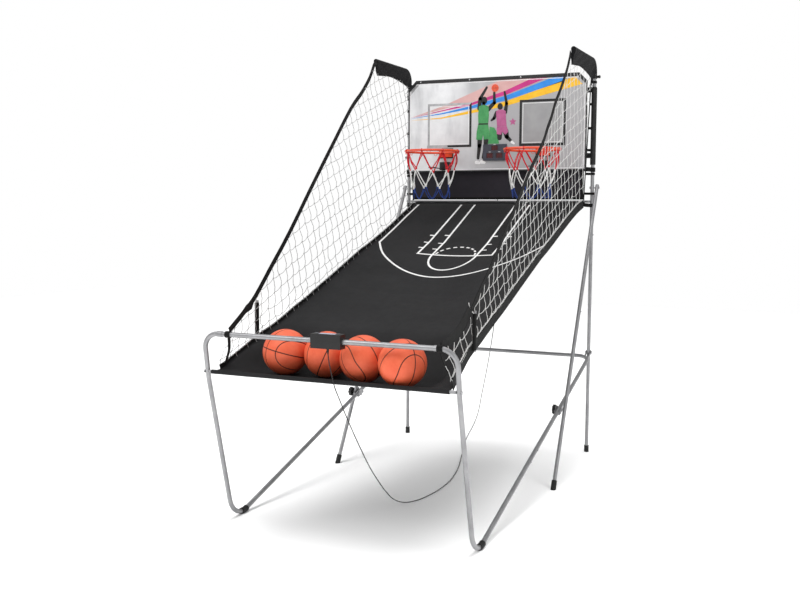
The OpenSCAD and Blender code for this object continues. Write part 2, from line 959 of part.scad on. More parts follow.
// Spring pins that lock the struts' sleeved joints
module strut_pins() {
    color("silver")
        both_sides()
            for (at = strut_pin_at) {
                spot = foot_vertex + strut_dir * at;
                translate([frame_half + front_r + pin_gap, spot[0], spot[1]])
                    rotate([0, 90, 0])
                        cylinder(h = 2.6, r = 3);
            }
}

module rear_u_bar() {
    path = [[-frame_half, -u_stub], [-frame_half, 0], [frame_half, 0], [frame_half, -u_stub]];
    longer = [
        [-frame_half, -u_stub - 1], [-frame_half, 0], [frame_half, 0], [frame_half, -u_stub - 1]
    ];
    inner_x = rear_half - rear_r - ear_gap - ear_t;
    outer_x = rear_half + rear_r + ear_gap;
    color(steel_grey)
        difference() {
            union() {
                translate([0, u_corner[0], u_corner[1]])
                    rotate([strut_tilt, 0, 0])
                        flat_rod(path, [u_bend, u_bend], front_r);
                both_sides() {
                    hinge_ear(inner_x, [924.8, 501.6]);
                    hinge_ear(outer_x, [903, 495]);
                }
            }
            translate([0, u_corner[0], u_corner[1]])
                rotate([strut_tilt, 0, 0])
                    flat_rod(longer, [u_bend, u_bend], front_r - wall);
        }
}

// Ear welded to the cross tube, with the hinge bolt's hole
module hinge_ear(x, root) {
    bolt = [rear_y, hinge_z];
    reach = norm(bolt - root);
    side_plane(x)
        linear_extrude(ear_t)
            difference() {
                union() {
                    translate(bolt)
                        circle(r = 11);
                    translate(root)
                        rotate([0, 0, atan2(bolt[1] - root[1], bolt[0] - root[0])])
                            translate([0, -7])
                                square([reach, 14]);
                }
                translate(bolt)
                    circle(r = hinge_bolt_r + 0.05);
            }
}

module tray_bar() {
    color(steel_grey)
        tube(
            [front_r - frame_half + 0.3, tray_bar_at[0], tray_bar_at[1]],
            [frame_half - front_r - 0.3, tray_bar_at[0], tray_bar_at[1]], crossbar_r, 1
        );
}

module tray_bolts() {
    color("silver")
        both_sides()
            translate([frame_half + front_r, tray_bar_at[0], tray_bar_at[1]])
                rotate([0, 90, 0])
                    cylinder(h = 4, r = 6);
}

// ---------- Control pod on the front bar ----------

module pod_base() {
    color([0.08, 0.08, 0.09])
        difference() {
            translate([pod_x[0], bar_y - pod_half_y, pod_low])
                cube([pod_x[1] - pod_x[0], 2 * pod_half_y, bar_z - pod_low]);
            rod([pod_x[0] - 1, bar_y, bar_z], [pod_x[1] + 1, bar_y, bar_z], front_r);
        }
}

button_at = [-26, 64];

module pod_cover() {
    color([0.1, 0.1, 0.11])
        difference() {
            translate([pod_x[0], bar_y - pod_half_y, bar_z])
                cube([pod_x[1] - pod_x[0], 2 * pod_half_y, pod_high - bar_z]);
            rod([pod_x[0] - 1, bar_y, bar_z], [pod_x[1] + 1, bar_y, bar_z], front_r);
            for (x = button_at)
                translate([x, bar_y, pod_high - 12])
                    cylinder(h = 13, r = 6.3);
        }
}

module pod_button(x) {
    color([0.3, 0.3, 0.32])
        translate([x, bar_y, pod_high - 8])
            cylinder(h = 10.5, r = 6);
}
module pod_button_power() { pod_button(button_at[0]); }
module pod_button_mode() { pod_button(button_at[1]); }

// ---------- Balls ----------

module ball(n) {
    color(ball_orange)
        translate([ball_at[n][0], ball_at[n][1], ball_rest_z])
            difference() {
                sphere(d = ball_d, $fn = 64);
                sphere(d = ball_d - 2 * ball_wall, $fn = 64);
            }
}
module ball_1() { ball(0); }
module ball_2() { ball(1); }
module ball_3() { ball(2); }
module ball_4() { ball(3); }

rear_leg_l();
rear_leg_r();
upright_l();
upright_r();
prop_leg_l();
prop_leg_r();
foot_caps();
frame_bolts();
leg_pins();
lock_brackets();
ramp_crossbar();
ramp_sheet();
back_panel();
panel_straps();
side_net_l();
side_net_r();
net_edge_l();
net_edge_r();
net_posts();
arm_hood_l();
arm_hood_r();
backboard_panel();
backboard_trim();
board_brackets();
rim_l();
rim_r();
rim_mounts();
hoop_net_l();
hoop_net_r();
sensor_boxes();
sensor_paddle_l();
sensor_paddle_r();
scorer_housing();
scorer_back();
scorer_displays();
scorer_board();
scorer_speaker();
battery_pack();
cable();
clamp_knob_l();
clamp_knob_r();
front_bar();
bar_collars();
front_leg_l();
front_leg_r();
foot_pads();
strut_l();
strut_r();
strut_pins();
rear_u_bar();
tray_bar();
tray_bolts();
pod_base();
pod_cover();
pod_button_power();
pod_button_mode();
ball_1();
ball_2();
ball_3();
ball_4();
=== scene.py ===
"""Basketball hoop machine: the looks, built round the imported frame. Metres, +Z up, front towards -Y."""
import math
import random

import bmesh
import bpy
from mathutils import Euler, Matrix, Vector, noise


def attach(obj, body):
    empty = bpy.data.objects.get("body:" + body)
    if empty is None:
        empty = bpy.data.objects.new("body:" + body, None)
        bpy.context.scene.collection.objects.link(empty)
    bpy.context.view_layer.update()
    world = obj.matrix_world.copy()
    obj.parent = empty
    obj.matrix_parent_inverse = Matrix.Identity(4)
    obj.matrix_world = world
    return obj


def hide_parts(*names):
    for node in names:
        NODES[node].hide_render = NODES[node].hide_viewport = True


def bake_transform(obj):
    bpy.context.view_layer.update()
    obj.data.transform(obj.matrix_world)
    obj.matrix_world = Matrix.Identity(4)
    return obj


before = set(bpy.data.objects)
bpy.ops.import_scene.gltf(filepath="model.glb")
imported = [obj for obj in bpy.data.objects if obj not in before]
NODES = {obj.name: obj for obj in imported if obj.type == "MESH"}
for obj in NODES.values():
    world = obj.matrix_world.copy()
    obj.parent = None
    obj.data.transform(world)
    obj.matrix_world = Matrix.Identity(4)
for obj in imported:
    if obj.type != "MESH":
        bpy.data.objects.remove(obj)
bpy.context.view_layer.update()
REAR, FRONT = "rear_frame", "front_frame"
scene = bpy.context.scene
V = Vector
# Axis of the right upright; the left one mirrors it
POST_X, POST_Y = 0.511, 0.960
BALL_RADIUS = 0.089


def stand(name, data):
    """A new object in the scene."""
    obj = bpy.data.objects.new(name, data)
    scene.collection.objects.link(obj)
    return obj


# ---------- Camera ----------

cam_data = bpy.data.cameras.new("camera")
cam_data.lens = 44.6
cam_data.sensor_width = 36
camera = stand("camera", cam_data)
camera.location = (1.722, -4.079, 1.249)
look = Euler((math.radians(84.845), 0, math.radians(24.39))).to_matrix()
camera.rotation_euler = (look @ Matrix.Rotation(math.radians(0.30), 3, "Z")).to_euler()
scene.camera = camera
scene.view_settings.view_transform = "Standard"


# ---------- Geometry helpers ----------

def lerp(a, b, t):
    return a + (b - a) * t


def along(table, at):
    """Straight-line value in a table of (position, value) rows, positions rising."""
    if at <= table[0][0]:
        return table[0][1]
    for (p, a), (q, b) in zip(table, table[1:]):
        if at <= q:
            return lerp(a, b, (at - p) / (q - p))
    return table[-1][1]


def smooth_step(a, b, at):
    t = min(1, max(0, (at - a) / (b - a)))
    return t * t * (3 - 2 * t)


def turns(count):
    """Angles of one full turn."""
    return [math.tau * k / count for k in range(count)]


def arc(first, last, step):
    """Angles in radians, from bounds and a step in degrees."""
    return [math.radians(d) for d in range(first, last, step)]


def spaced(a, b, count):
    return [lerp(a, b, k / (count - 1)) for k in range(count)]


def level_arc(centre, radius, angles):
    """Points round a vertical axis."""
    x, y, z = centre
    return [V((x + radius * math.cos(a), y + radius * math.sin(a), z)) for a in angles]


def upright_arc(x, y, z, radius, angles):
    """Points round an axis along x."""
    return [V((x, y + radius * math.cos(a), z + radius * math.sin(a))) for a in angles]


def wave(x, y, z=0.0, scale=1.0):
    """Smooth seeded noise from about -1 to 1."""
    return noise.noise(V((x * scale + 3.7, y * scale - 1.3, z * scale + 8.1)))


def catmull(points, steps):
    points = [V(p) for p in points]
    out = []
    last = len(points) - 1
    for i in range(last):
        a, b, c, d = (points[max(0, min(last, k))] for k in (i - 1, i, i + 1, i + 2))
        for k in range(steps):
            t = k / steps
            out.append(0.5 * (2 * b + (c - a) * t + (2 * a - 5 * b + 4 * c - d) * t * t
                              + (3 * b - a - 3 * c + d) * t ** 3))
    out.append(points[-1])
    return out


def bent(route, bends, steps=10):
    """Points along a route of straight runs with a round bend at each inner point."""
    route = [V(p) for p in route]
    out = [route[0]]
    for i in range(1, len(route) - 1):
        a, b, c, r = route[i - 1], route[i], route[i + 1], bends[i - 1]
        u, w = (a - b).normalized(), (c - b).normalized()
        half = u.angle(w) / 2
        middle = b + (u + w).normalized() * (r / math.sin(half))
        start = b + u * (r / math.tan(half)) - middle
        end = b + w * (r / math.tan(half)) - middle
        sweep = math.pi - 2 * half
        for k in range(steps + 1):
            t = k / steps
            out.append(middle + (start * math.sin((1 - t) * sweep) + end * math.sin(t * sweep))
                       / math.sin(sweep))
    out.append(route[-1])
    return out


def frames_on(path, closed=False, up=None):
    """(direction, side, other side) at each point of a path, without twist."""
    n = len(path)
    out = []
    u = None
    for i in range(n):
        before = path[i - 1] if i > 0 or closed else path[0]
        after = path[(i + 1) % n] if i < n - 1 or closed else path[-1]
        t = (after - before).normalized()
        if up is not None:
            u = V(up)
        elif u is None:
            u = t.orthogonal()
        u = (u - t * u.dot(t)).normalized()
        out.append((t, u, t.cross(u)))
    return out


class Build:
    """Collects the faces of one piece."""

    def __init__(self):
        self.verts, self.faces, self.slots = [], [], []

    def rings(self, rings, closed=False, caps=True, slot=0):
        n, m, base = len(rings[0]), len(rings), len(self.verts)
        for ring in rings:
            self.verts.extend(ring)
        for i in range(m if closed else m - 1):
            a, b = base + i * n, base + ((i + 1) % m) * n
            for k in range(n):
                self.faces.append((a + k, a + (k + 1) % n, b + (k + 1) % n, b + k))
                self.slots.append(slot)
        if caps and not closed:
            self.faces.append(tuple(range(base + n - 1, base - 1, -1)))
            self.faces.append(tuple(range(base + (m - 1) * n, base + m * n)))
            self.slots += [slot, slot]

    def cord(self, path, radius, sides=8, closed=False, slot=0):
        path = [V(p) for p in path]
        rings = []
        for i, (_, u, w) in enumerate(frames_on(path, closed)):
            r = radius(i / max(1, len(path) - 1)) if callable(radius) else radius
            rings.append([path[i] + (u * math.cos(a) + w * math.sin(a)) * r for a in turns(sides)])
        self.rings(rings, closed, True, slot)

    def pipe(self, path, radius, wall=0.0012, sides=28, slot=0):
        """Open-ended tube with real walls."""
        path = [V(p) for p in path]
        outer, inner = [], []
        for p, (_, u, w) in zip(path, frames_on(path)):
            spin = [u * math.cos(a) + w * math.sin(a) for a in turns(sides)]
            outer.append([p + s * radius for s in spin])
            inner.append([p + s * (radius - wall) for s in spin])
        self.rings(outer + inner[::-1], closed=True, caps=False, slot=slot)

    def strap(self, path, side, width, thick, slot=0, ripple=0.0, closed=False):
        """Flat strap along a path, width along the side vector, with softened edges."""
        path = [V(p) for p in path]
        w, t = width / 2, thick / 2
        c = min(w, t) * 0.7
        shape = [(w, -t + c), (w, t - c), (w - c, t), (0, t * 1.08), (c - w, t), (-w, t - c),
                 (-w, c - t), (c - w, -t), (0, -t * 1.08), (w - c, -t)]
        rings = []
        for i, (_, u, v) in enumerate(frames_on(path, closed, side)):
            p = path[i] + v * ripple * wave(i * 0.21, width * 90)
            rings.append([p + u * a + v * b for a, b in shape])
        self.rings(rings, closed, True, slot)

    def blob(self, centre, radii, slot=0, sides=8, bands=5):
        centre, radii = V(centre), (radii,) * 3 if isinstance(radii, float) else radii
        rings = []
        for j in range(bands + 1):
            a = math.pi * (j + 0.18) / (bands + 0.36)
            rings.append([centre + V((math.sin(a) * math.cos(b) * radii[0],
                                      math.sin(a) * math.sin(b) * radii[1],
                                      -math.cos(a) * radii[2])) for b in turns(sides)])
        self.rings(rings, False, True, slot)

    def turned(self, base, axis, profile, sides=32, slot=0):
        """Solid of revolution: profile rows are (distance along axis, radius)."""
        base, axis = V(base), V(axis).normalized()
        u = axis.orthogonal().normalized()
        w = axis.cross(u)
        self.rings([[base + axis * d + (u * math.cos(a) + w * math.sin(a)) * r for a in turns(sides)]
                    for d, r in profile], False, True, slot)

    def plate(self, outline, origin, u, v, thick, slot=0):
        """Flat plate from a 2-D outline; u and v span it and u x v is its front."""
        origin, u, v = V(origin), V(u), V(v)
        n = u.cross(v).normalized()
        front = [origin + u * a + v * b for a, b in outline]
        base, count = len(self.verts), len(front)
        self.verts.extend(p - n * thick for p in front)
        self.verts.extend(front)
        self.faces.append(tuple(range(base + count - 1, base - 1, -1)))
        self.faces.append(tuple(range(base + count, base + 2 * count)))
        for k in range(count):
            j = (k + 1) % count
            self.faces.append((base + k, base + j, base + count + j, base + count + k))
        self.slots += [slot] * (count + 2)

    def sheet(self, grid, thick, slot=0):
        """Closed cloth from a grid of points, the grid being its upper face."""
        rows, cols = len(grid), len(grid[0])
        base = len(self.verts)
        lower = []
        for i in range(rows):
            for j in range(cols):
                du = grid[min(rows - 1, i + 1)][j] - grid[max(0, i - 1)][j]
                dv = grid[i][min(cols - 1, j + 1)] - grid[i][max(0, j - 1)]
                lower.append(grid[i][j] - dv.cross(du).normalized() * thick)
        self.verts.extend(p for row in grid for p in row)
        self.verts.extend(lower)
        low = base + rows * cols
        for i in range(rows - 1):
            for j in range(cols - 1):
                a = i * cols + j
                quad = (a, a + 1, a + cols + 1, a + cols)
                self.faces.append(tuple(base + q for q in quad))
                self.faces.append(tuple(low + q for q in reversed(quad)))
                self.slots += [slot, slot]
        rim = (list(range(cols - 1))
               + [i * cols + cols - 1 for i in range(rows - 1)]
               + [(rows - 1) * cols + j for j in range(cols - 1, 0, -1)]
               + [i * cols for i in range(rows - 1, 0, -1)])
        for k, a in enumerate(rim):
            b = rim[(k + 1) % len(rim)]
            self.faces.append((base + b, base + a, low + a, low + b))
            self.slots.append(slot)

    def make(self, name, mats, body=None, sharp=40):
        mesh = bpy.data.meshes.new(name)
        mesh.from_pydata([tuple(p) for p in self.verts], [], self.faces)
        for m in mats if isinstance(mats, (list, tuple)) else [mats]:
            mesh.materials.append(m)
        mesh.polygons.foreach_set("material_index", self.slots)
        bm = bmesh.new()
        bm.from_mesh(mesh)
        bmesh.ops.recalc_face_normals(bm, faces=bm.faces)
        for face in bm.faces:
            face.smooth = True
        for edge in bm.edges:
            if len(edge.link_faces) == 2 and edge.calc_face_angle(0) > math.radians(sharp):
                edge.smooth = False
        bm.to_mesh(mesh)
        bm.free()
        mesh.update()
        obj = stand(name, mesh)
        if body:
            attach(obj, body)
        return obj


def folding(obj):
    """Bakes the piece's placement into its mesh."""
    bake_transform(obj)
    return obj


# ---------- Materials ----------

def lin(rgb):
    return tuple(((c / 255 + 0.055) / 1.055) ** 2.4 if c > 10 else c / 3294.6 for c in rgb) + (1,)


class Surface:
    """A procedural material: its nodes, its colour so far and its bumps so far."""

    def __init__(self, name):
        self.mat = bpy.data.materials.new(name)
        self.mat.use_nodes = True
        self.tree = self.mat.node_tree
        self.shader = self.tree.nodes["Principled BSDF"]
        self.place = self.node("TexCoord").outputs["Object"]
        self.normal = None

    def put(self, value, socket):
        """Links an output to the socket, or sets the socket to a plain value."""
        if isinstance(value, bpy.types.NodeSocket):
            self.tree.links.new(value, socket)
        else:
            socket.default_value = value

    def node(self, kind, **values):
        made = self.tree.nodes.new("ShaderNode" + kind)
        for key, value in values.items():
            name = key.replace("_", " ")
            if name in made.inputs:
                self.put(value, made.inputs[name])
            else:
                setattr(made, key, value)
        return made

    def noise(self, scale, detail, **more):
        values = {"Vector": self.place, "Scale": scale, "Detail": detail, **more}
        return self.node("TexNoise", **values).outputs["Fac"]

    def spread(self, value, low, high, to_low=0.0, to_high=1.0, **more):
        """The value's range low to high, stretched to the other range."""
        return self.node("MapRange", Value=value, From_Min=low, From_Max=high, To_Min=to_low, To_Max=to_high,
                         **more).outputs["Result"]

    def mix(self, share, a, b, blend="MIX"):
        made = self.node("Mix", data_type="RGBA", blend_type=blend)
        for value, index in ((share, 0), (a, 6), (b, 7)):
            self.put(value, made.inputs[index])
        return made.outputs[2]

    def bump(self, height, distance, strength=1.0, **more):
        made = self.node("Bump", Height=height, Strength=strength, Distance=distance, **more)
        if self.normal:
            self.put(self.normal, made.inputs["Normal"])
        self.normal = made.outputs["Normal"]

    def done(self):
        if self.normal:
            self.put(self.normal, self.shader.inputs["Normal"])
        self.put(self.colour, self.shader.inputs["Base Color"])
        return self.mat


def surface(name, low, high, rough=(0.4, 0.5), metal=0.0, patch=9.0, grain=None, weave=None,
            sheen=0.0, coat=0.0, spec=None, scratch=0.0):
    """Two tones mixed in soft patches, with uneven gloss, wear, grain and weave; the weave darkens its gaps and
    lightens its threads in the colour, as painted shade and painted highlight.
    """
    s = Surface(name)
    low, high = lin(low), lin(high)
    for socket, value in (("Metallic", metal), ("Sheen Weight", sheen), ("Sheen Roughness", 0.5),
                          ("Coat Weight", coat), ("Coat Roughness", 0.15),
                          ("Specular IOR Level", spec or (0.15 if weave else 0.5))):
        s.shader.inputs[socket].default_value = value
    s.colour = s.mix(s.spread(s.noise(patch, 5.0, Roughness=0.6), 0.32, 0.68), low, high)
    s.put(s.spread(s.noise(patch * 7, 4.0), 0.0, 1.0, *rough), s.shader.inputs["Roughness"])
    if scratch:
        worn = tuple(min(1, c * 1.9 + 0.02) for c in high[:3]) + (1,)
        marks = s.spread(s.noise(60.0, 8.0, Distortion=1.5), 0.62, 0.72, 0.0, scratch)
        s.colour = s.mix(marks, s.colour, worn)
    if grain:
        s.bump(s.noise(grain[0], 3.0), grain[1])
    if weave:
        period, depth, axes = weave
        both = s.node("Math", operation="MAXIMUM")
        for axis, socket in zip(axes, both.inputs):
            threads = s.node("TexWave", Vector=s.place, wave_type="BANDS", bands_direction=axis,
                             Scale=0.314 / period, Distortion=0.6, Detail=1.0)
            s.put(threads.outputs["Fac"], socket)
        s.bump(both.outputs[0], depth)
        # Painted shade in the gaps between threads and painted highlight on the threads, multiplied into the
        # colour.
        s.colour = s.mix(1.0, s.colour, s.spread(both.outputs[0], 0.0, 1.0, 0.72, 1.12), "MULTIPLY")
    return s


def finish(*values, **more):
    return surface(*values, **more).done()


def cloth(name, low, high, period, depth, axes, rough=(0.6, 0.8), patch=60, sheen=0.1):
    return finish(name, low, high, rough, patch=patch, weave=(period, depth, axes), sheen=sheen)


def printing(name, low, high, patch=20, rough=(0.3, 0.45)):
    return finish(name, low, high, rough, patch=patch)


steel = finish("painted_steel", (140, 140, 142), (162, 162, 164), (0.30, 0.42), 0.5, patch=14,
               grain=(900, 0.00006), scratch=0.12)
bright = finish("bright_steel", (150, 150, 152), (190, 190, 192), (0.18, 0.34), 1.0, patch=60,
                grain=(1500, 0.00004), scratch=0.2)
plastic = finish("black_plastic", (14, 14, 15), (22, 22, 23), (0.38, 0.52), patch=30, grain=(1400, 0.00007))
rubber = finish("black_rubber", (19, 19, 19), (31, 31, 31), (0.68, 0.85), patch=40, grain=(700, 0.00012),
                scratch=0.15)
hood_cloth = cloth("hood_fabric", (14, 14, 16), (22, 22, 24), 0.0011, 0.00022, "YZ", (0.78, 0.92), 12, 0.05)
ramp_cloth = cloth("ramp_fabric", (33, 33, 34), (40, 40, 41), 0.0013, 0.0002, "XY", (0.72, 0.88), 5, 0.02)
panel_cloth = cloth("panel_fabric", (41, 39, 44), (49, 46, 52), 0.0013, 0.0002, "XZ", (0.74, 0.9), 6, 0.03)
webbing = cloth("black_webbing", (14, 14, 14), (23, 23, 23), 0.0016, 0.00035, "YZ", (0.7, 0.88), 25, 0.04)
net_cord = cloth("net_cord", (196, 196, 195), (224, 224, 222), 0.0022, 0.0003, "YZ", patch=40, sheen=0.05)
# Darker copy of the same cord for the left net: painted shade, as that net is seen on its shadowed side.
net_cord_grey = cloth("net_cord_grey", (150, 150, 150), (184, 184, 183), 0.0022, 0.0003, "YZ", patch=40,
                      sheen=0.05)
print_white = cloth("court_print", (225, 225, 224), (248, 248, 247), 0.0013, 0.00012, "XY", (0.55, 0.7),
                    25, 0.0)
rim_paint = finish("rim_paint", (215, 58, 20), (240, 82, 32), (0.26, 0.4), patch=20, grain=(600, 0.00006),
                   coat=0.5, scratch=0.25)
net_red = cloth("hoop_net_red", (190, 24, 38), (222, 44, 54), 0.003, 0.0006, "XZ")
net_white = cloth("hoop_net_white", (222, 222, 220), (246, 246, 244), 0.003, 0.0006, "XZ")
net_blue = cloth("hoop_net_blue", (30, 52, 112), (44, 72, 146), 0.003, 0.0006, "XZ")
case_dark = finish("scorer_case", (46, 48, 60), (57, 59, 72), (0.42, 0.55), patch=30, grain=(1200, 0.00008))
display = finish("display_window", (52, 7, 12), (66, 10, 16), (0.08, 0.14), patch=30, coat=0.6)
segment = printing("display_segment", (96, 14, 20), (112, 18, 26), 60, (0.2, 0.3))
circuit = printing("circuit_board", (14, 74, 40), (22, 92, 52), 90, (0.35, 0.5))
cable_skin = finish("cable_jacket", (16, 16, 17), (26, 26, 27), (0.4, 0.55), patch=60, grain=(900, 0.00005))
button_grey = printing("button_grey", (92, 94, 98), (112, 114, 118), 60, (0.4, 0.5))
label = printing("pod_label", (176, 182, 206), (214, 218, 232), 70, (0.35, 0.45))
prints = [
    printing("board_line", (224, 224, 224), (244, 244, 244), 30, (0.3, 0.4)),
    printing("print_pink", (206, 160, 158), (216, 174, 170), 14, (0.35, 0.5)),
    printing("print_magenta", (186, 34, 118), (204, 48, 134)),
    printing("print_blue", (34, 128, 214), (50, 146, 230)),
    printing("print_yellow", (236, 178, 26), (250, 196, 40)),
    printing("print_black", (14, 13, 14), (24, 22, 23), 40, (0.32, 0.45)),
    printing("print_grey", (150, 150, 152), (196, 196, 198), 16, (0.35, 0.5)),
    printing("print_shade", (146, 146, 147), (158, 158, 159), 12, (0.35, 0.5)),
    printing("print_green", (52, 136, 76), (74, 158, 92), 45, (0.35, 0.5)),
    printing("print_plum", (168, 78, 128), (190, 98, 146), 45, (0.35, 0.5)),
    printing("print_coral", (226, 78, 48), (238, 96, 62), 60, (0.35, 0.5)),
]
SILVER, PINK, MAGENTA, BLUE, YELLOW, INK, FAINT, SHADE, GREEN, PLUM, CORAL = range(11)


def ball_skin():
    s = surface("ball_rubber", (228, 94, 60), (240, 112, 76), (0.46, 0.6), patch=22, spec=0.4)
    s.colour = s.mix(s.node("Attribute", attribute_name="seam").outputs["Fac"], s.colour, lin((44, 20, 16)))
    pebbles = s.node("TexVoronoi", Vector=s.place, Scale=420.0)
    s.bump(pebbles.outputs["Distance"], 0.00035, 0.7, invert=True)
    return s.done()


def board_skin():
    """Silver film with a painted reflection: white-ish with grey streaks, fading to an even grey on the right.
    """
    s = surface("board_print", (206, 207, 209), (240, 241, 242), (0.3, 0.42), patch=5)
    stretch = s.node("Mapping", Vector=s.place, Scale=(9, 1, 2.6), Rotation=(0, math.radians(24), 0))
    # Painted reflection: stretched grey streaks across the white-ish film.
    painted_reflection_streaks = s.spread(s.noise(1.4, 7.0, Vector=stretch.outputs["Vector"]), 0.5, 0.8, 0.0, 0.75)
    s.colour = s.mix(painted_reflection_streaks, s.colour, lin((160, 161, 164)))
    x = s.node("SeparateXYZ", Vector=s.place).outputs["X"]
    # Painted reflection: the film fades to an even grey towards the right.
    right = s.spread(x, -0.30, 0.06, interpolation_type="SMOOTHSTEP")
    s.colour = s.mix(right, s.colour, lin((168, 167, 169)))
    return s.done()


ball_rubber = ball_skin()
board_film = board_skin()


def dress(name, mat, edge=0.0, segments=3):
    """Gives a CAD node its material and, on moulded parts, softened edges."""
    obj = NODES[name]
    obj.data.materials.clear()
    obj.data.materials.append(mat)
    if edge:
        weld = obj.modifiers.new("weld", "WELD")
        weld.merge_threshold = 0.00002
        bevel = obj.modifiers.new("bevel", "BEVEL")
        bevel.width = edge
        bevel.segments = segments
        bevel.limit_method = "ANGLE"
        bevel.angle_limit = math.radians(40)
    return obj


for names, mat, edge in (
    ("rear_leg_l rear_leg_r upright_l upright_r prop_leg_l prop_leg_r strut_l strut_r front_bar "
     "tray_bar ramp_crossbar rear_u_bar front_leg_l front_leg_r", steel, 0),
    ("lock_brackets", steel, 0.0006),
    ("frame_bolts leg_pins strut_pins tray_bolts", bright, 0.0008),
    ("bar_collars", steel, 0.0005),
    ("foot_caps foot_pads", rubber, 0.001),
    ("board_brackets rim_mounts clamp_knob_l clamp_knob_r backboard_trim scorer_speaker", plastic, 0.0008),
    ("sensor_boxes sensor_paddle_l sensor_paddle_r", plastic, 0.0006),
    ("pod_base pod_cover", plastic, 0.008),
    ("battery_pack", plastic, 0.001),
    ("pod_button_power pod_button_mode", button_grey, 0.0008),
    ("scorer_housing scorer_back", case_dark, 0.0015),
    ("scorer_displays", display, 0.0004),
    ("scorer_board", circuit, 0.0002),
    ("rim_l rim_r", rim_paint, 0.0006),
    ("backboard_panel", board_film, 0),
):
    for each in names.split():
        dress(each, mat, edge, 6 if edge > 0.004 else 3)


# ---------- Cable ----------

CABLE = [
    (19, -953, 751.5), (24, -956, 712), (36, -956, 660), (46, -950, 610), (50, -920, 560),
    (50, -876, 500), (49, -820, 430), (46, -740, 338), (40, -650, 246), (35, -560, 166),
    (31, -480, 102), (30, -400, 48), (38, -310, 11), (66, -228, 3), (83, -130, 3),
    (88, -26, 3), (81, 94, 3), (62, 212, 3), (32, 340, 3), (-6, 470, 3),
    (-44, 590, 3), (-76, 700, 7), (-98, 780, 22), (-104, 836, 48), (-92, 890, 96),
    (-79, 928, 160), (-67, 952, 262), (-46, 966, 393), (-25, 970, 527), (-8, 970, 660),
    (0, 970, 820), (0, 970, 980), (0, 970, 1140), (0, 970, 1280), (0, 972, 1400),
    (0, 972, 1470), (0, 966, 1508), (0, 953, 1527), (0, 940, 1532),
]
cable_path = catmull([V(p) / 1000 for p in CABLE], 6)
build = Build()
build.cord(cable_path, 0.002, 12)
cable = build.make("cable_lead", cable_skin)
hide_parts("cable")
folding(cable)

build = Build()
build.turned((0.019, -0.953, 0.7525), (0.06, -0.03, -1), [
    (0, 0.0052), (0.004, 0.0052), (0.005, 0.0044), (0.008, 0.0044), (0.009, 0.0039), (0.012, 0.0039),
    (0.013, 0.0034), (0.016, 0.0034), (0.017, 0.0030), (0.022, 0.0027)], 20)
build.make("cable_relief_pod", rubber, FRONT)
build = Build()
build.turned((0, 0.9395, 1.532), (0, 1, -0.38), [(0, 0.0046), (0.006, 0.0040), (0.013, 0.0032),
             (0.020, 0.0027)], 20)
build.make("cable_relief_scorer", rubber, REAR)


# ---------- Ramp ----------

RAMP_MIDDLE = [(-0.940, 0.632), (-0.915, 0.622), (-0.875, 0.6105), (-0.740, 0.6105), (-0.690, 0.638),
               (-0.520, 0.772), (0.944, 1.286)]
RAMP_SIDE = [(-0.938, 0.630), (-0.910, 0.634), (-0.873, 0.645), (-0.846, 0.659), (-0.780, 0.683),
             (-0.685, 0.722), (-0.606, 0.746), (-0.539, 0.765), (-0.470, 0.789), (-0.395, 0.816),
             (-0.270, 0.857), (0.240, 1.043), (0.345, 1.075), (0.459, 1.113), (0.596, 1.161),
             (0.750, 1.219), (0.944, 1.286)]
RAMP_WIDE = [(-0.940, 0.487), (-0.850, 0.475), (-0.700, 0.462), (-0.500, 0.456), (0.000, 0.4535),
             (0.600, 0.4535), (0.850, 0.462), (0.944, 0.474)]
RAMP_SAG = 0.040


def soft_along(table, y):
    return (along(table, y - 0.022) + 2 * along(table, y) + along(table, y + 0.022)) / 4


def half_width(y):
    return soft_along(RAMP_WIDE, y)


def across_ramp(t, y):
    """The sheet's x at t from -1 to 1; its front left corner reaches out to the leg."""
    return t * half_width(y) - max(0, -t) * 0.013 * smooth_step(-0.885, -0.930, y)


def ramp_z(x, y):
    u = min(1, abs(x) / half_width(y))
    z = lerp(soft_along(RAMP_MIDDLE, y), soft_along(RAMP_SIDE, y), smooth_step(0.74, 1, u))
    sag = RAMP_SAG * (1 - u * u) * min(1, max(0, (y + 0.6) / 0.5)) * min(1, max(0, (0.94 - y) / 0.44))
    folds = 0.0016 * wave(x * 2.2, y * 1.1) + 0.0012 * wave(x * 5 + y * 3, y * 2 - x * 2, 4)
    corner = smooth_step(0.25, 0.46, abs(x)) * smooth_step(-0.35, -0.75, y)
    pull = 0.004 * corner * math.sin((abs(x) * 0.9 + y * 0.5) * 60)
    return z - sag + folds + pull


HEM = 0.0085
build = Build()
spread = spaced(-1, 1, 73)
grid = []
# The hem wraps round the tray bar before the sheet climbs
for turn in range(-150, 91, 20):
    q = math.radians(180 - turn)
    y, z = -0.933 + HEM * math.cos(q), 0.627 + HEM * math.sin(q)
    grid.append([V((x, y, z + 0.0006 * wave(x * 9, turn * 0.02)))
                 for x in (across_ramp(t, -0.94) for t in spread)])
for y in (-0.9425 + 0.0125 * i for i in range(2, 151)):
    grid.append([V((x, y, ramp_z(x, y))) for x in (across_ramp(t, y) for t in spread)])
# Its rear hem passes under and behind the crossbar
for a in arc(-125, 31, 15):
    y, z = 0.960 + HEM * math.cos(a), 1.300 + HEM * math.sin(a)
    grid.append([V((t * half_width(0.944), y, z)) for t in spread])
build.sheet(grid, 0.0022)
ramp = build.make("ramp_cloth", ramp_cloth, sharp=60)
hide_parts("ramp_sheet")
folding(ramp)


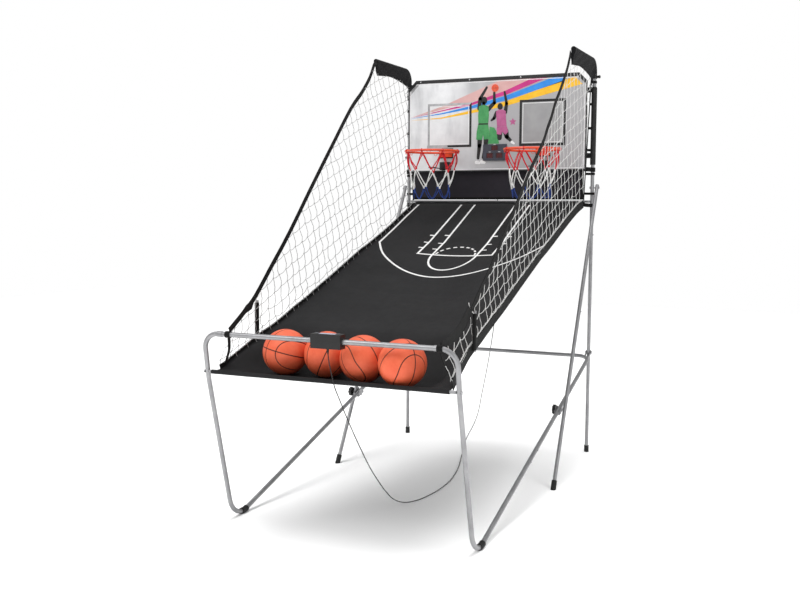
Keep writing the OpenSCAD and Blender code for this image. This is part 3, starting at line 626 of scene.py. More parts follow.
def court_line(points, width=0.0095, steps=0.012):
    """A painted line, as a thin film on the cloth."""
    dense = []
    for a, b in zip(points, points[1:]):
        a, b = V(a), V(b)
        count = max(1, int((b - a).length / steps))
        dense += [a.lerp(b, k / count) for k in range(count)]
    dense.append(V(points[-1]))
    rings = []
    for i, p in enumerate(dense):
        t = (dense[min(len(dense) - 1, i + 1)] - dense[max(0, i - 1)]).normalized()
        n = V((-t.y, t.x)) * width / 2
        rings.append([V((q.x, q.y, ramp_z(q.x, q.y) + lift)) for q, lift in
                      ((p - n, 0.0004), (p + n, 0.0004), (p + n, 0.0011), (p - n, 0.0011))])
    build.rings(rings)


def key_arc(rx, ry, start, end, steps=40):
    """Part of an ellipse round the middle of the free-throw line, in degrees."""
    return [(rx * math.cos(a), FREE_THROW + ry * math.sin(a)) for a in
            (math.radians(d) for d in spaced(start, end, steps + 1))]


build = Build()
TOP, FREE_THROW = 0.934, 0.342
curve = catmull([(0.426, 0.406, 0), (0.35, 0.288, 0), (0.23, 0.18, 0), (0.115, 0.115, 0), (0, 0.09, 0),
                 (-0.115, 0.115, 0), (-0.23, 0.18, 0), (-0.35, 0.288, 0), (-0.426, 0.406, 0)], 8)
court_line([(0.44, TOP)] + [(p.x, p.y) for p in curve] + [(-0.44, TOP)])
for s in (-1, 1):
    for x in (0.19, 0.113):
        court_line([(s * x, TOP), (s * x, FREE_THROW)])
    for y in (0.561, 0.482, 0.414):
        court_line([(s * 0.193, y), (s * 0.216, y)], 0.009)
    for y in (0.572, 0.483, 0.410):
        court_line([(s * 0.117, y), (s * 0.14, y)], 0.008)
court_line([(-0.195, FREE_THROW), (0.195, FREE_THROW)])
court_line(key_arc(0.113, 0.17, 180, 360))
for a in spaced(12, 168, 9):
    court_line(key_arc(0.10, 0.107, a - 5.5, a + 5.5, 5), 0.009)
folding(build.make("court_lines", print_white, sharp=70))

# Hem stitches along the front
build = Build()
for x in spaced(-0.478, 0.478, 116):
    z = ramp_z(x, -0.9215)
    build.cord([V((x + step, -0.9215, z + lift)) for step, lift in
                ((-0.0022, 0.0012), (0, 0.0016), (0.0022, 0.0012))], 0.00045, 5)
folding(build.make("hem_stitches", webbing))


def mirrored(s, points):
    return [V((s * x, y, z)) for x, y, z in points]


# Straps that hold the ramp's rear corners to the uprights
build = Build()
for s in (-1, 1):
    path = ([(0.470, 0.9425, 1.2835), (0.486, 0.9440, 1.2820)]
            + level_arc((POST_X, POST_Y, 1.280), 0.0112, arc(-90, 91, 20))
            + [(0.492, 0.966, 1.281), (0.474, 0.953, 1.283)])
    build.strap(mirrored(s, path), (0, 0, 1), 0.019, 0.0022)
build.make("ramp_corner_straps", webbing, REAR)


# ---------- Side bands and nets ----------

EDGE_CURVE = {
    1: [(-0.950, 0.790), (-0.850, 0.795), (-0.750, 0.826), (-0.610, 0.936), (-0.471, 1.042),
        (-0.324, 1.166), (-0.200, 1.275), (-0.052, 1.405), (0.060, 1.490), (0.134, 1.548),
        (0.186, 1.604), (0.250, 1.670), (0.305, 1.737), (0.380, 1.807), (0.455, 1.885),
        (0.500, 1.945), (0.522, 1.988)],
    -1: [(-0.945, 0.793), (-0.850, 0.843), (-0.747, 0.904), (-0.621, 1.008), (-0.441, 1.158),
         (-0.247, 1.337), (-0.038, 1.524), (0.189, 1.724), (0.330, 1.822), (0.405, 1.882),
         (0.458, 1.935), (0.490, 1.978), (0.526, 1.997)],
}
EDGE_X = {1: [(-0.950, 0.4575), (0.500, 0.5005)],
          -1: [(-0.945, 0.4085), (0.500, 0.5005)]}


def edge_x(s, y):
    return soft_along(EDGE_X[s], y)


def side_low(s, y):
    return soft_along(RAMP_SIDE, y) + (0.027 if s > 0 else 0.015)


def net_x(s, y, z):
    low = side_low(s, y)
    high = soft_along(EDGE_CURVE[s], y) if y < 0.5 else 1.94
    t = min(1, max(0, (z - low) / max(0.05, high - low)))
    hang = 0.008 * math.sin(math.pi * t) * smooth_step(0.80, 0.55, y)
    return lerp(half_width(y) + 0.0015, edge_x(s, y), t) - hang


for s, tag in ((-1, "l"), (1, "r")):
    # Band on the ramp's edge
    build = Build()
    path = [V((s * (half_width(y) + 0.0012), y, side_low(s, y) - 0.020)) for y in spaced(-0.900, 0.930, 111)]
    slope = V((0, -0.331, 0.9436))
    build.strap(path, slope, 0.038, 0.0024, ripple=0.0008)
    for off in (0.0187, -0.0187):
        build.cord([p + slope * off for p in path], 0.0019, 8)
    folding(build.make("side_band_" + tag, webbing))

    # Netting: strands along the ramp and strands across it, knotted where they meet
    e1, e2 = V((0.9436, 0.331)), V((-0.331, 0.9436))
    origin = V((-0.86, 0.690))
    cell = 0.0575
    local = random.Random(23 + s)
    jitter = {}

    def knot(i, j):
        if (i, j) not in jitter:
            loose = 0.0105 if j < 2 else 0.0045
            jitter[i, j] = V((local.uniform(-1, 1), local.uniform(-1, 1))) * loose
        return origin + e1 * (i * cell) + e2 * (j * cell) + jitter[i, j]

    def inside(p):
        y, z = p
        if abs(y) > 0.930 or z < side_low(s, y) - 0.004:
            return False
        if y < 0.50:
            return z < soft_along(EDGE_CURVE[s], y) - 0.002
        return z < 1.948 - 0.02 * smooth_step(0.80, 0.93, y)

    def place(p, lift=0.0):
        return V((s * (net_x(s, p.x, p.y) + lift), p.x, p.y))

    build = Build()
    strands = []
    for j in range(-1, 26):
        run = []
        for i in range(-6, 42):
            a, b = knot(i, j), knot(i + 1, j)
            droop = 0.0035 + 0.003 * local.random()
            run += [a.lerp(b, k / 5) - V((0, droop * math.sin(math.pi * k / 5))) for k in range(5)]
        strands.append(run)
    for i in range(-6, 42):
        run = []
        for j in range(-1, 26):
            a, b = knot(i, j), knot(i, j + 1)
            bow = 0.0075 + 0.006 * local.random()
            if local.random() < 0.12:
                bow = -bow
            run += [a.lerp(b, k / 6) + e1 * bow * math.sin(math.pi * k / 6) * (1 if k < 3 else 0.6)
                    for k in range(6)]
        strands.append(run)
    for run in strands:
        part = []
        for p in run + [None]:
            if p is not None and inside(p):
                part.append(place(p, 0.0006 * wave(p.x * 30, p.y * 30)))
                continue
            if len(part) >= 3:
                build.cord(part, 0.00115, 6)
            part = []
    for p in (knot(*key) for key in list(jitter)):
        if inside(p):
            build.blob(place(p), 0.0024, sides=6, bands=3)
    # Edge rope above the band, laced to it with small loops
    rope, other = [], []
    for k, y in enumerate(spaced(-0.885, 0.925, 900 if s > 0 else 620)):
        extra = 0.0024 * smooth_step(-0.46, -0.40, y) * (0.6 + 0.4 * wave(y * 6, 2)) if s > 0 else 0.0
        thick = 0.0013 + extra
        middle = V((s * (half_width(y) - 0.0010 - thick), y, side_low(s, y) + 0.002 + 0.002 * wave(y * 14, 5)))
        spin = V((s * math.cos(k * 0.42), 0, math.sin(k * 0.42))) * thick
        rope.append(middle + spin)
        other.append(middle - spin)
    build.cord(rope, 0.0014, 6)
    build.cord(other, 0.0014, 6)
    for k in range(30):
        y = lerp(-0.84, 0.90, (k + local.uniform(0.25, 0.75)) / 30)
        x, top = half_width(y), side_low(s, y)
        reach = local.uniform(0.010, 0.018)
        drop = top - 0.034
        loop = [(x - 0.0030, y - 0.005, top + 0.006), (x - 0.0045, y - 0.003, top - 0.006),
                (x - 0.008, y + 0.001, lerp(top, drop, 0.55)),
                (x - 0.008 - reach * 0.6, y + 0.006, drop + 0.010),
                (x - 0.008 - reach, y + 0.011, drop + 0.008 + 0.006 * local.random())]
        build.cord(catmull(mirrored(s, loop), 4), 0.0013, 6)
    if s > 0:
        # A slack end left over from the lacing
        build.cord(catmull([(half_width(y) - inset, y, soft_along(RAMP_SIDE, y) + lift) for y, inset, lift in
                            ((-0.215, 0.004, 0.020), (-0.10, 0.010, -0.004), (0.03, 0.011, -0.010),
                             (0.16, 0.009, -0.004), (0.30, 0.006, 0.010), (0.40, 0.004, 0.022))], 8),
                   0.0014, 6)
    # The left net takes the darker cord, which is painted shade.
    net = build.make("side_netting_" + tag, net_cord if s > 0 else net_cord_grey)
    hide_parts("side_net_" + tag)
    folding(net)

    # Webbing along the front edge, with its stitched gusset and lower strap
    build = Build()
    path = catmull([V((s * edge_x(s, y), y, z)) for y, z in EDGE_CURVE[s]], 6)
    across = V((0, -0.62, 0.78))
    build.strap(path, across, 0.0235, 0.0026, ripple=0.0009)
    for off in (-0.0095, 0.0095):
        build.cord([p + across * off + V((s * 0.0014, 0, 0)) for p in path], 0.0006, 5)
    if s > 0:
        flap = [(-0.700, 0.905), (-0.672, 0.872), (-0.800, 0.806), (-0.945, 0.783), (-0.945, 0.800),
                (-0.810, 0.836)]
        lower = [(0.457, -0.948, 0.768), (0.461, -0.935, 0.735), (0.469, -0.910, 0.695),
                 (0.4755, -0.885, 0.662), (0.4775, -0.876, 0.648)]
    else:
        flap = [(-0.742, 0.904), (-0.772, 0.859), (-0.836, 0.841), (-0.924, 0.795), (-0.945, 0.783),
                (-0.945, 0.800), (-0.892, 0.827), (-0.814, 0.878)]
        lower = [(-0.4085, -0.950, 0.768), (-0.424, -0.925, 0.740), (-0.442, -0.900, 0.710),
                 (-0.462, -0.885, 0.675), (-0.4775, -0.874, 0.648)]
    gusset = [V((s * edge_x(s, y), y, z)) for y, z in flap]
    build.rings([gusset, [p + V((s * 0.0022, 0, 0)) for p in gusset]])
    ring = upright_arc(lower[0][0], -0.953, 0.778, 0.0118, turns(18))
    build.strap(ring, (1, 0, 0), 0.022, 0.0022, closed=True)
    build.strap(catmull(lower, 6), (0, 1, 0), 0.015, 0.0024)
    edge = build.make("net_webbing_" + tag, webbing)
    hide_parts("net_edge_" + tag)
    folding(edge)

    # Rear edge webbing, tied to the upright
    build = Build()
    build.strap([V((s * net_x(s, 0.9365, z), 0.9365 + 0.0012 * math.sin(z * 40), z)) for z in
                 spaced(1.306, 1.930, 61)], (0, 1, 0), 0.015, 0.0024)
    for z in (1.34, 1.44, 1.56, 1.67, 1.79, 1.90):
        near = net_x(s, 0.9365, z) - 0.002
        tie = ([(near, 0.938, z)] + level_arc((POST_X, POST_Y, z), 0.0112, arc(-90, 151, 20))
               + [(near, 0.944, z)])
        build.strap(mirrored(s, tie), (0, 0, 1), 0.012, 0.0022)
    build.make("net_rear_webbing_" + tag, webbing, REAR)

    # Batten in its sleeve at the lower front of the net
    build = Build()
    px, py = s * 0.472, -0.650
    build.pipe([V((px, py, 0.7290)), V((px, py, 0.882))], 0.005, 0.001, 16, slot=1)
    build.rings([[V((px + math.cos(a) * 0.0075, py - 0.004 + math.sin(a) * (0.0125 + 0.0012 * wave(k * 0.5, s)),
                     z)) for a in turns(20)] for k, z in enumerate(spaced(0.735, 0.872, 15))])
    build.cord([V((px, py - 0.012, 0.872)), V((px - s * 0.012, py - 0.026, 0.893)),
                V((s * edge_x(s, py - 0.05), py - 0.050, 0.915))], 0.0016, 6, slot=2)
    batten = build.make("net_battens_" + tag, [webbing, bright, net_cord])
    if s > 0:
        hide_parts("net_posts")
    folding(batten)


# ---------- Arm hoods ----------

for s, tag in ((-1, "l"), (1, "r")):
    top = bent([(s * POST_X, 0.5325, 2.004), (s * POST_X, POST_Y, 2.004), (s * POST_X, POST_Y, 1.900)],
               [0.060], 14)
    path = [top[0].lerp(top[1], k / 26) for k in range(26)] + top[1:-1] + [V((s * POST_X, POST_Y, 1.937))]
    low = catmull([(0, 0.5345, 1.935), (0, 0.60, 1.941), (0, 0.69, 1.947), (0, 0.78, 1.941),
                   (0, 0.86, 1.930), (0, 0.905, 1.921), (0, 0.932, 1.913), (0, 0.944, 1.908)], 8)
    build = Build()
    rings = []
    side = V((1, 0, 0))
    for i, (p, (tangent, _, _)) in enumerate(zip(path, frames_on(path))):
        t = i / (len(path) - 1)
        outward = tangent.cross(side) * (1 if tangent.cross(side).z >= 0 or tangent.cross(side).y > 0 else -1)
        q = low[min(len(low) - 1, round(t * (len(low) - 1)))]
        q = V((s * 0.5035, q.y, q.z))
        r = 0.0118

        def flank(sign, f):
            """A point of one side's cloth, f from the tube down to the hem, with its folds."""
            fold = 0.0022 * math.sin(f * math.pi) * math.sin(t * 34 + f * 7 + s)
            return (p + side * r * sign).lerp(q + side * 0.0024 * sign, f) + side * fold

        rings.append([p + side * (math.cos(a) * r) + outward * (math.sin(a) * r) for a in arc(0, 181, 18)]
                     + [flank(-1, k / 9) for k in range(1, 9)]
                     + [q + side * x - V((0, 0, 0.002)) for x in (-0.0016, 0.0016)]
                     + [flank(1, 1 - k / 9) for k in range(1, 9)])
    build.rings(rings)
    # Seam along the lower edge
    build.cord([V((s * 0.5035, q.y, q.z - 0.0015)) for q in low], 0.0024, 8)
    hood = build.make("arm_cover_" + tag, hood_cloth, REAR, sharp=75)
    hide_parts("arm_hood_" + tag)
    # Clip below the hood, with its press stud
    build = Build()
    build.turned((s * POST_X, POST_Y, 1.917), (0, 0, 1), [(0, 0.0122), (0.001, 0.0134), (0.017, 0.0134),
                 (0.018, 0.0122)], 28)
    build.turned((s * POST_X + 0.010, 0.9585, 1.926), (1, -0.1, 0), [(0, 0.0062), (0.010, 0.0062),
                 (0.0115, 0.0078), (0.018, 0.0078), (0.0195, 0.006)], 18)
    build.turned((s * POST_X - 0.010, 0.9585, 1.926), (-1, -0.1, 0), [(0, 0.0055), (0.006, 0.0055),
                 (0.0072, 0.0045)], 18)
    build.make("arm_clip_" + tag, plastic, REAR)
    # Ring and cord that hang the net's rear corner
    build = Build()
    centre = V((s * POST_X - 0.016, 0.949, 1.878))
    build.cord([centre + V((math.cos(a) * 0.0085, -0.003 * math.sin(a), math.sin(a) * 0.0105))
                for a in turns(24)], 0.0016, 8, closed=True)
    build.cord(catmull([centre + V(p) for p in ((0.004, 0, 0.010), (0.010, -0.001, 0.024),
                                                (0.015, -0.003, 0.040))], 5), 0.0018, 8)
    build.make("net_ring_" + tag, bright, REAR)

# Foam sleeve on the right upright
build = Build()
sleeve = [(0.002 + 0.383 * k / 40, 0.0138 + 0.00025 * wave(k * 0.7, 3)) for k in range(1, 40)]
build.turned((POST_X, POST_Y, 1.4855), (0, 0, 1), [(0.0, 0.0108), (0.002, 0.0138)] + sleeve
             + [(0.385, 0.0138), (0.387, 0.0108)], 32)
build.make("upright_sleeve", rubber, REAR)
build = Build()
build.turned((-POST_X, POST_Y, 1.4855), (0, 0, 1), [(0, 0.0096), (0.001, 0.0108), (0.011, 0.0108),
             (0.012, 0.0096)], 28)
build.turned((-POST_X - 0.006, 0.9585, 1.540), (-1, -0.2, 0), [(0, 0.005), (0.006, 0.005), (0.008, 0.0065),
             (0.014, 0.0065), (0.0155, 0.005)], 18)
build.make("upright_collar", plastic, REAR)


# ---------- Back panel ----------

build = Build()
grid = []
for v in spaced(0, 1, 27):
    z = lerp(1.4995, 1.3095, v)
    row = []
    for u in spaced(0, 1, 81):
        x = lerp(-0.474, 0.474, u)
        bow = 0.0028 * math.sin(math.pi * v) * (0.5 + wave(x * 3, z * 5))
        tuck = 0.0012 * math.sin(x * 95) * (1 - v) ** 3
        sag = 0.003 * math.sin(math.pi * ((u * 6) % 1)) * (1 - v) ** 4
        row.append(V((x, 0.930 - bow + tuck, z - sag)))
    grid.append(row)
build.sheet([row[::-1] for row in grid], 0.0016)
panel = build.make("back_curtain", panel_cloth, REAR, sharp=70)
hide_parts("back_panel")
build = Build()
across = spaced(-0.474, 0.474, 81)
build.strap([V((x, 0.9288 + 0.0008 * wave(k * 0.3, 9), 1.4925)) for k, x in enumerate(across)],
            (0, 0, 1), 0.014, 0.0022)
build.strap([V((x, 0.9288, 1.3165)) for x in across], (0, 0, 1), 0.012, 0.0022)
for s in (-1, 1):
    build.strap([V((s * 0.4675, 0.9292, z)) for z in spaced(1.4965, 1.312, 21)], (1, 0, 0), 0.013, 0.0022)
build.make("curtain_hems", webbing, REAR)

build = Build()
for s in (-1, 1):
    path = [(0.468, 0.9285, 1.463), (0.486, 0.930, 1.463), (0.500, 0.938, 1.4625), (0.506, 0.9480, 1.462),
            (0.5115, 0.9478, 1.4615), (0.5185, 0.9500, 1.461), (0.5232, 0.9560, 1.461), (0.5232, 0.9640, 1.461),
            (0.5185, 0.9705, 1.4612), (0.511, 0.9723, 1.4615), (0.5035, 0.9700, 1.462), (0.499, 0.962, 1.4625),
            (0.4965, 0.948, 1.463), (0.482, 0.9335, 1.463)]
    build.strap(catmull(mirrored(s, path), 4), (0, 0, 1), 0.022, 0.002)
straps = build.make("curtain_straps", webbing, REAR)
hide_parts("panel_straps")


# ---------- Backboard print ----------

FACE = 0.9020
FILM = 0.00022
XR, ZU = V((1, 0, 0)), V((0, 0, 1))
build = Build()


def printed(outline, layer, slot):
    """A film on the board's face; outline in board x and z, millimetres."""
    thick = FILM * layer
    build.plate([(x / 1000, z / 1000) for x, z in outline], (0, FACE - thick, 0), XR, ZU, thick, slot)


def disc(cx, cz, r, squash=1.0, n=28):
    return [(cx + math.cos(a) * r, cz + math.sin(a) * r * squash) for a in turns(n)]


def limb(a, b, ra, rb, n=7):
    """Tapered capsule from a to b."""
    heading = math.atan2(b[1] - a[1], b[0] - a[0])
    half = spaced(-math.pi / 2, math.pi / 2, n + 1)
    return [(c[0] + r * math.cos(heading + t), c[1] + r * math.sin(heading + t)) for c, r, t in
            [(b, rb, t) for t in half] + [(a, ra, t + math.pi) for t in half]]


def frame_of(cx, w, h, t, slots):
    """Mitred square frame; slots for its left, right, lower and upper bars."""
    x0, x1, z0, z1 = cx - w / 2, cx + w / 2, 1703 - h / 2, 1703 + h / 2
    outer = [(x0, z0), (x1, z0), (x1, z1), (x0, z1)]
    inner = [(x0 + t, z0 + t), (x1 - t, z0 + t), (x1 - t, z1 - t), (x0 + t, z1 - t)]
    for k, slot in zip((3, 1, 0, 2), slots):
        j = (k + 1) % 4
        printed([outer[k], outer[j], inner[j], inner[k]], 4, slot)


def limbs(rows, slot=INK, layer=5):
    for ax, az, bx, bz, ra, rb in rows:
        printed(limb((ax, az), (bx, bz), ra, rb), layer, slot)


# Fan of stripes
printed([(-470, 1752), (-100, 1828), (20, 1853), (200, 1927.5), (30, 1927.5), (-120, 1872), (-300, 1803)],
        1, PINK)
printed([(-482, 1748.5), (-135, 1803), (60, 1850), (282, 1927.5), (198, 1927.5), (60, 1873), (-135, 1815)],
        2, MAGENTA)
printed([(-484, 1744.5), (-300, 1762), (-131, 1786), (60, 1822), (374, 1908), (374, 1927.5), (310, 1927.5),
         (60, 1846), (-131, 1801), (-300, 1769)], 2, BLUE)
printed([(-482, 1735), (-300, 1739.5), (-131, 1762), (60, 1793), (464, 1888), (445, 1907), (424, 1927.5),
         (60, 1817), (-131, 1777), (-300, 1746)], 2, YELLOW)
# Silver line inside the board's edge, and the grey corner at upper left
rim = [(-478, 1470), (478, 1470), (478, 1899), (448.5, 1923.5), (-448.5, 1923.5), (-478, 1899)]
for a, b in zip(rim, rim[1:] + rim[:1]):
    printed(limb(a, b, 1.7, 1.7, 3), 3, SILVER)
printed([(-483, 1888), (-444, 1927), (-425, 1927), (-483, 1866)], 1, SHADE)
# Target squares
frame_of(-252, 250, 232, 11.5, (FAINT, INK, INK, FAINT))
frame_of(-252, 219, 201, 3, (SILVER,) * 4)
printed([(-380, 1583), (-380, 1599), (-262, 1599), (-262, 1583)], 5, FAINT)
printed([(150, 1598), (368, 1598), (368, 1808), (150, 1808)], 1, SHADE)
frame_of(259, 244, 236, 12.5, (INK,) * 4)
frame_of(259, 211, 203, 3, (SILVER,) * 4)
# A plain player shape that shoots
limbs(((-84, 1786, -80, 1836, 11.5, 9.5), (-80, 1836, -44, 1893, 9, 6), (-36, 1778, -1, 1812, 11.5, 9),
       (-1, 1812, -2, 1866, 8.5, 6), (-78, 1640, -81, 1592, 14.5, 11.5), (-81, 1592, -88, 1527, 10.5, 7.5),
       (-44, 1640, -46, 1592, 14.5, 11.5), (-46, 1592, -60, 1530, 10.5, 7.5), (-60, 1800, -60, 1812, 9, 9)))
printed(disc(-57, 1826, 16.5, 1.2), 5, INK)
printed([(-86, 1797), (-70, 1802), (-50, 1802), (-33, 1795), (-30, 1750), (-34, 1705), (-88, 1705),
         (-90, 1750)], 6, GREEN)
printed([(-89, 1704), (-34, 1704), (-27, 1665), (-26, 1626), (-56, 1624), (-61, 1650), (-66, 1622),
         (-99, 1624), (-97, 1665)], 6, GREEN)
printed([(-88, 1708), (-34, 1708), (-34, 1701), (-89, 1701)], 7, INK)
limbs(((-96.5, 1505, -80.5, 1502, 9, 7), (-68.5, 1507, -52.5, 1504, 9, 7)), SILVER, 6)
printed([(-26, 1690), (0, 1684), (18, 1655), (28, 1600.5), (-34, 1600.5), (-26, 1640)], 4, GREEN)
# Another that guards
limbs(((12, 1762, -2, 1732, 9, 8), (-2, 1732, -16, 1722, 7.5, 5), (60, 1762, 66, 1806, 10, 8.5),
       (66, 1806, 54, 1866, 8, 5), (30, 1665, 30, 1630, 15.5, 12.5), (62, 1665, 70, 1635, 15.5, 11.5),
       (70, 1635, 94, 1612, 10.5, 7)))
printed(disc(31, 1792, 14.5, 1.2), 5, INK)
printed([(9, 1768), (24, 1776), (44, 1776), (62, 1768), (64, 1728), (68, 1690), (16, 1690),
         (12, 1728)], 6, PLUM)
printed([(15, 1689), (69, 1689), (78, 1660), (62, 1646), (44, 1662), (38, 1646), (14, 1650)], 6, PLUM)
limbs(((98, 1607, 108, 1600, 7.5, 5.5),), SILVER, 6)
# Star and ball
printed([(101 + r * math.sin(a), 1711 + r * math.cos(a)) for a, r in zip(turns(10), (21, 9.5) * 5)], 4, PLUM)
printed(disc(2, 1888, 19.5, n=36), 6, CORAL)
for w in (-10, 0, 10):
    reach = math.sqrt(18.5 ** 2 - w * w) * 0.94
    printed(limb((2 + w, 1888 - reach), (2 + w, 1888 + reach), 0.6, 0.6, 3), 7, INK)
printed(limb((-16.5, 1888), (20.5, 1888), 0.6, 0.6, 3), 7, INK)
art = build.make("board_art", prints, REAR, sharp=20)

# Screws in the board's trim
build = Build()
for x, z in ((-0.46, 1.465), (0.46, 1.465), (-0.42, 1.937), (0.42, 1.937), (-0.14, 1.937), (0.14, 1.937)):
    build.turned((x, 0.9005, z), (0, -1, 0), [(0, 0.0042), (0.0012, 0.0042), (0.0024, 0.0030),
                                              (0.0027, 0.0012)], 18)
build.make("trim_screws", bright, REAR)


# ---------- Hoops ----------

MESHES, STEP = 8, 45
for s, tag in ((-1, "l"), (1, "r")):
    c = V((s * 0.268, 0.704, 1.555))
    local = random.Random(5 + s)
    build = Build()

    def at(turn, radius, z):
        a = math.radians(turn)
        return c + V((math.sin(a) * radius, -math.cos(a) * radius, z))

    first = [(STEP * (i + 0.5) + local.uniform(-5, 5), 0.1145 + local.uniform(-0.005, 0.003),
              -0.098 + local.uniform(-0.012, 0.010)) for i in range(MESHES)]
    second = [(STEP * i + local.uniform(-5, 5), 0.0975 + local.uniform(-0.006, 0.004),
               -0.182 + local.uniform(-0.012, 0.010)) for i in range(MESHES)]

    def strand(p, q, r, slot, bulge=0.004):
        mid = p.lerp(q, 0.5)
        out = V((mid.x - c.x, mid.y - c.y, 0)).normalized()
        mid = mid + out * bulge + V((0, 0, local.uniform(-0.004, 0.003)))
        build.cord(catmull([p, p.lerp(q, 0.25) + out * bulge * 0.7, mid, p.lerp(q, 0.75) + out * bulge * 0.7,
                            q], 3),
                   r, 8, slot=slot)

    for i in range(MESHES):
        turn = STEP * i
        hook = at(turn, 0.138, 0)
        radial = (hook - c).normalized()
        build.cord([hook + radial * (math.cos(a) * 0.0080) + V((0, 0, math.sin(a) * 0.0080 - 0.0016))
                    for a in turns(16)], 0.0021, 8, closed=True)
        for side in (-1, 1):
            j = i if side > 0 else (i - 1) % MESHES
            goal = at(*first[j])
            strand(at(turn + side * 1.6, 0.1325, -0.012), goal, 0.0026, 0)
            if local.random() < 0.45:
                strand(at(turn + side * 4.4, 0.1315, -0.014), goal + V((0, 0, 0.004)), 0.0021, 0, 0.009)
        for k in (i, (i + 1) % MESHES):
            strand(at(*first[i]), at(*second[k]), 0.0028, 1, 0.005)
        build.blob(at(*first[i]), (0.0050, 0.0050, 0.0060), slot=0 if local.random() < 0.6 else 1)
        a, b = second[i], second[(i + 1) % MESHES]
        turn_b = b[0] + (360 if i == MESHES - 1 else 0)
        low = at((a[0] + turn_b) / 2, 0.091, -0.240 + local.uniform(-0.006, 0.004))
        build.cord(catmull([at(*a), at(lerp(a[0], turn_b, 0.20), 0.0955, -0.218), low,
                            at(lerp(a[0], turn_b, 0.80), 0.0955, -0.218), at(turn_b, b[1], b[2])], 5),
                   0.0024, 8, slot=2)
        build.blob(at(*a), (0.0048, 0.0048, 0.0058), slot=1 if local.random() < 0.5 else 2)
    soft = build.make("hoop_netting_" + tag, [net_red, net_white, net_blue], REAR)
    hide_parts("hoop_net_" + tag)
    # Wire hooks welded under the ring
    build = Build()
    for i in range(12):
        hook = at(30 * i + 15, 0.138, -0.006)
        radial = V((hook.x - c.x, hook.y - c.y, 0)).normalized()
        tangent = V((-radial.y, radial.x, 0))
        build.cord(catmull([hook - tangent * 0.009 + V((0, 0, 0.002)),
                            hook - tangent * 0.006 - V((0, 0, 0.006)),
                            hook - V((0, 0, 0.0095)), hook + tangent * 0.006 - V((0, 0, 0.006)),
                            hook + tangent * 0.009 + V((0, 0, 0.002))], 4), 0.0012, 8)
    build.make("rim_hooks_" + tag, rim_paint, REAR)


# ---------- Scorer and pod details ----------

def oblong(x, z, a, b):
    """Corners of a rectangle, from its centre and half sizes."""
    return [(x - a, z - b), (x + a, z - b), (x + a, z + b), (x - a, z + b)]


SX = 0.006
build = Build()
for cx, cz in ((0, 1.578), (-0.026, 1.539), (0.026, 1.539)):
    cx += SX
    outer = oblong(cx, cz, 0.0195, 0.0155)
    for a, b in zip(outer, outer[1:] + outer[:1]):
        build.cord([V((a[0], 0.8926, a[1])), V((b[0], 0.8926, b[1]))], 0.0011, 8)
    # Unlit bar segments behind the window
    for digit in (-0.0075, 0.0075):
        x = cx + digit
        for dx, dz, tall in ((0, 0.0085, 0), (0, 0, 0), (0, -0.0085, 0), (-0.0042, 0.00425, 1),
                             (0.0042, 0.00425, 1), (-0.0042, -0.00425, 1), (0.0042, -0.00425, 1)):
            a, b = (0.0008, 0.0030) if tall else (0.0030, 0.0008)
            build.plate(oblong(x + dx, cz + dz, a, b), (0, 0.89335, 0), XR, ZU, 0.0003, 1)
for x in (SX - 0.046, SX + 0.046):
    build.turned((x, 0.8932, 1.584), (0, -1, 0), [(0, 0.0025), (0.0008, 0.0025), (0.0014, 0.0018)], 14)
for cx, cz in ((0, 1.5965), (-0.026, 1.5578), (0.026, 1.5578)):
    build.plate(oblong(SX + cx, cz, 0.006, 0.0009), (0, 0.89265, 0), XR, ZU, 0.0004, 2)
build.make("scorer_bezels", [case_dark, segment, prints[SILVER]], REAR)

build = Build()
outline = []
for cx, cy, a0 in ((0.052, 0.012, 0), (-0.052, 0.012, 90), (-0.052, -0.012, 180), (0.052, -0.012, 270)):
    for k in range(6):
        a = math.radians(a0 + 18 * k)
        outline.append((cx * 0.58 + 0.0025 * math.cos(a), cy * 0.75 + 0.0025 * math.sin(a)))
build.plate(outline, (0.019, -0.953, 0.80555), (1, 0, 0), (0, 1, 0), 0.0007)
build.make("pod_label_blank", label, FRONT)
build = Build()
for x in (-0.0428, 0.0808):
    build.turned((x, -0.953, 0.778), (1 if x > 0 else -1, 0, 0), [(-0.0005, 0.0172), (0.0006, 0.0165),
                 (0.0014, 0.0125), (0.0014, 0.0100)], 28)
build.make("pod_end_rings", rubber, FRONT)


# ---------- Balls ----------

def seam_distance(p):
    a = abs(math.asin(max(-1, min(1, p.x))))
    b = abs(math.asin(max(-1, min(1, p.z))))
    phi = math.acos(min(1, abs(p.x)))
    lon = math.atan2(p.z, p.y)
    oval = abs(phi - math.radians(48) - math.radians(10) * math.cos(2 * lon))
    return min(a, b, oval)


def ball_mesh():
    bm = bmesh.new()
    bmesh.ops.create_icosphere(bm, subdivisions=6, radius=1)
    for width in (0.046, 0.033):
        near = [e for e in bm.edges
                if seam_distance((e.verts[0].co + e.verts[1].co).normalized()) < width]
        bmesh.ops.subdivide_edges(bm, edges=near, cuts=1)
        bmesh.ops.triangulate(bm, faces=[f for f in bm.faces if len(f.verts) > 3])
    layer = bm.verts.layers.float.new("seam")
    for v in bm.verts:
        n = v.co.normalized()
        d = seam_distance(n)
        v[layer] = smooth_step(0.0245, 0.0185, d)
        v.co = n * (BALL_RADIUS - 0.0014 * smooth_step(0.027, 0.012, d))
    for f in bm.faces:
        f.smooth = True
    mesh = bpy.data.meshes.new("ball")
    bm.to_mesh(mesh)
    bm.free()
    mesh.materials.append(ball_rubber)
    return mesh


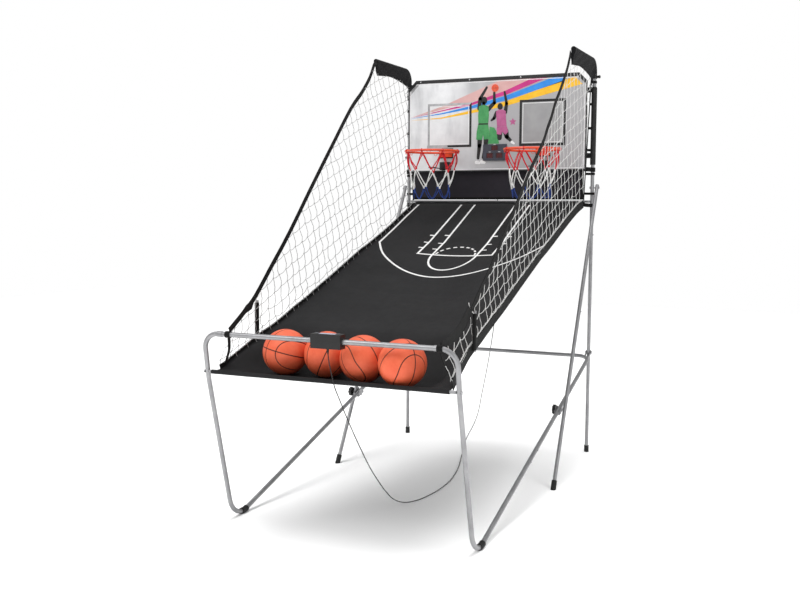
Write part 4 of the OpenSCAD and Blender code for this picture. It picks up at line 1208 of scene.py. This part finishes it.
ball_shape = ball_mesh()
for n, (turn, centre) in enumerate((
    ((-14, 6, -28), (-0.258, -0.785, 0.700)), ((78, 24, 20), (-0.080, -0.775, 0.700)),
    ((62, -18, 64), (0.094, -0.815, 0.700)), ((84, 30, -38), (0.2695, -0.851, 0.700)),
), 1):
    mesh = ball_shape.copy()
    spin = Euler([math.radians(a) for a in turn]).to_matrix().to_4x4()
    mesh.transform(Matrix.Translation(centre) @ spin)
    ball = stand(f"basket_ball_{n}", mesh)
    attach(ball, f"ball_{n}")
    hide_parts(f"ball_{n}")


# ---------- Stage and light ----------

world = bpy.data.worlds.new("studio")
scene.world = world
world.use_nodes = True
sky = world.node_tree.nodes["Background"]
sky.inputs["Color"].default_value = (1, 1, 1, 1)
# The backdrop stays white to the eye while it lights the machine more gently
rays = world.node_tree.nodes.new("ShaderNodeLightPath")
level = world.node_tree.nodes.new("ShaderNodeMapRange")
level.inputs["To Min"].default_value = 0.50
level.inputs["To Max"].default_value = 1.0
world.node_tree.links.new(rays.outputs["Is Camera Ray"], level.inputs["Value"])
world.node_tree.links.new(level.outputs["Result"], sky.inputs["Strength"])

floor_mesh = bpy.data.meshes.new("floor")
floor_mesh.from_pydata([(-9, -9, 0), (9, -9, 0), (9, 9, 0), (-9, 9, 0)], [], [(0, 1, 2, 3)])
floor = stand("floor", floor_mesh)
floor_mat = bpy.data.materials.new("floor_white")
floor_mat.use_nodes = True
paint = floor_mat.node_tree.nodes["Principled BSDF"].inputs
for socket, value in (("Base Color", (0.93, 0.93, 0.93, 1)), ("Roughness", 0.9),
                      ("Specular IOR Level", 0.0), ("Emission Color", (1, 1, 1, 1)),
                      ("Emission Strength", 0.06)):
    paint[socket].default_value = value
floor_mesh.materials.append(floor_mat)


def area(name, place, aim, size, power):
    light = bpy.data.lights.new(name, "AREA")
    light.shape = "RECTANGLE"
    light.size, light.size_y = size
    light.energy = power
    obj = stand(name, light)
    obj.location = place
    obj.rotation_euler = (V(aim) - V(place)).to_track_quat("-Z", "Y").to_euler()


# A wide sun that only the floor receives, so the soft shadow shows without washing out the machine
only_floor = bpy.data.collections.new("only_floor")
only_floor.objects.link(floor)
sun = stand("floor_sun", bpy.data.lights.new("floor_sun", "SUN"))
sun.data.energy = 1.75
sun.data.angle = math.radians(42)
sun.light_linking.receiver_collection = only_floor

area("key", (-2.2, -3.4, 4.6), (0, 0, 0.9), (2.2, 2.2), 110)
area("top", (0.2, 0.2, 5.2), (0, 0, 0), (4.5, 4.5), 110)
area("side", (3.6, -1.6, 2.4), (0, 0.2, 1.0), (1.6, 2.4), 26)
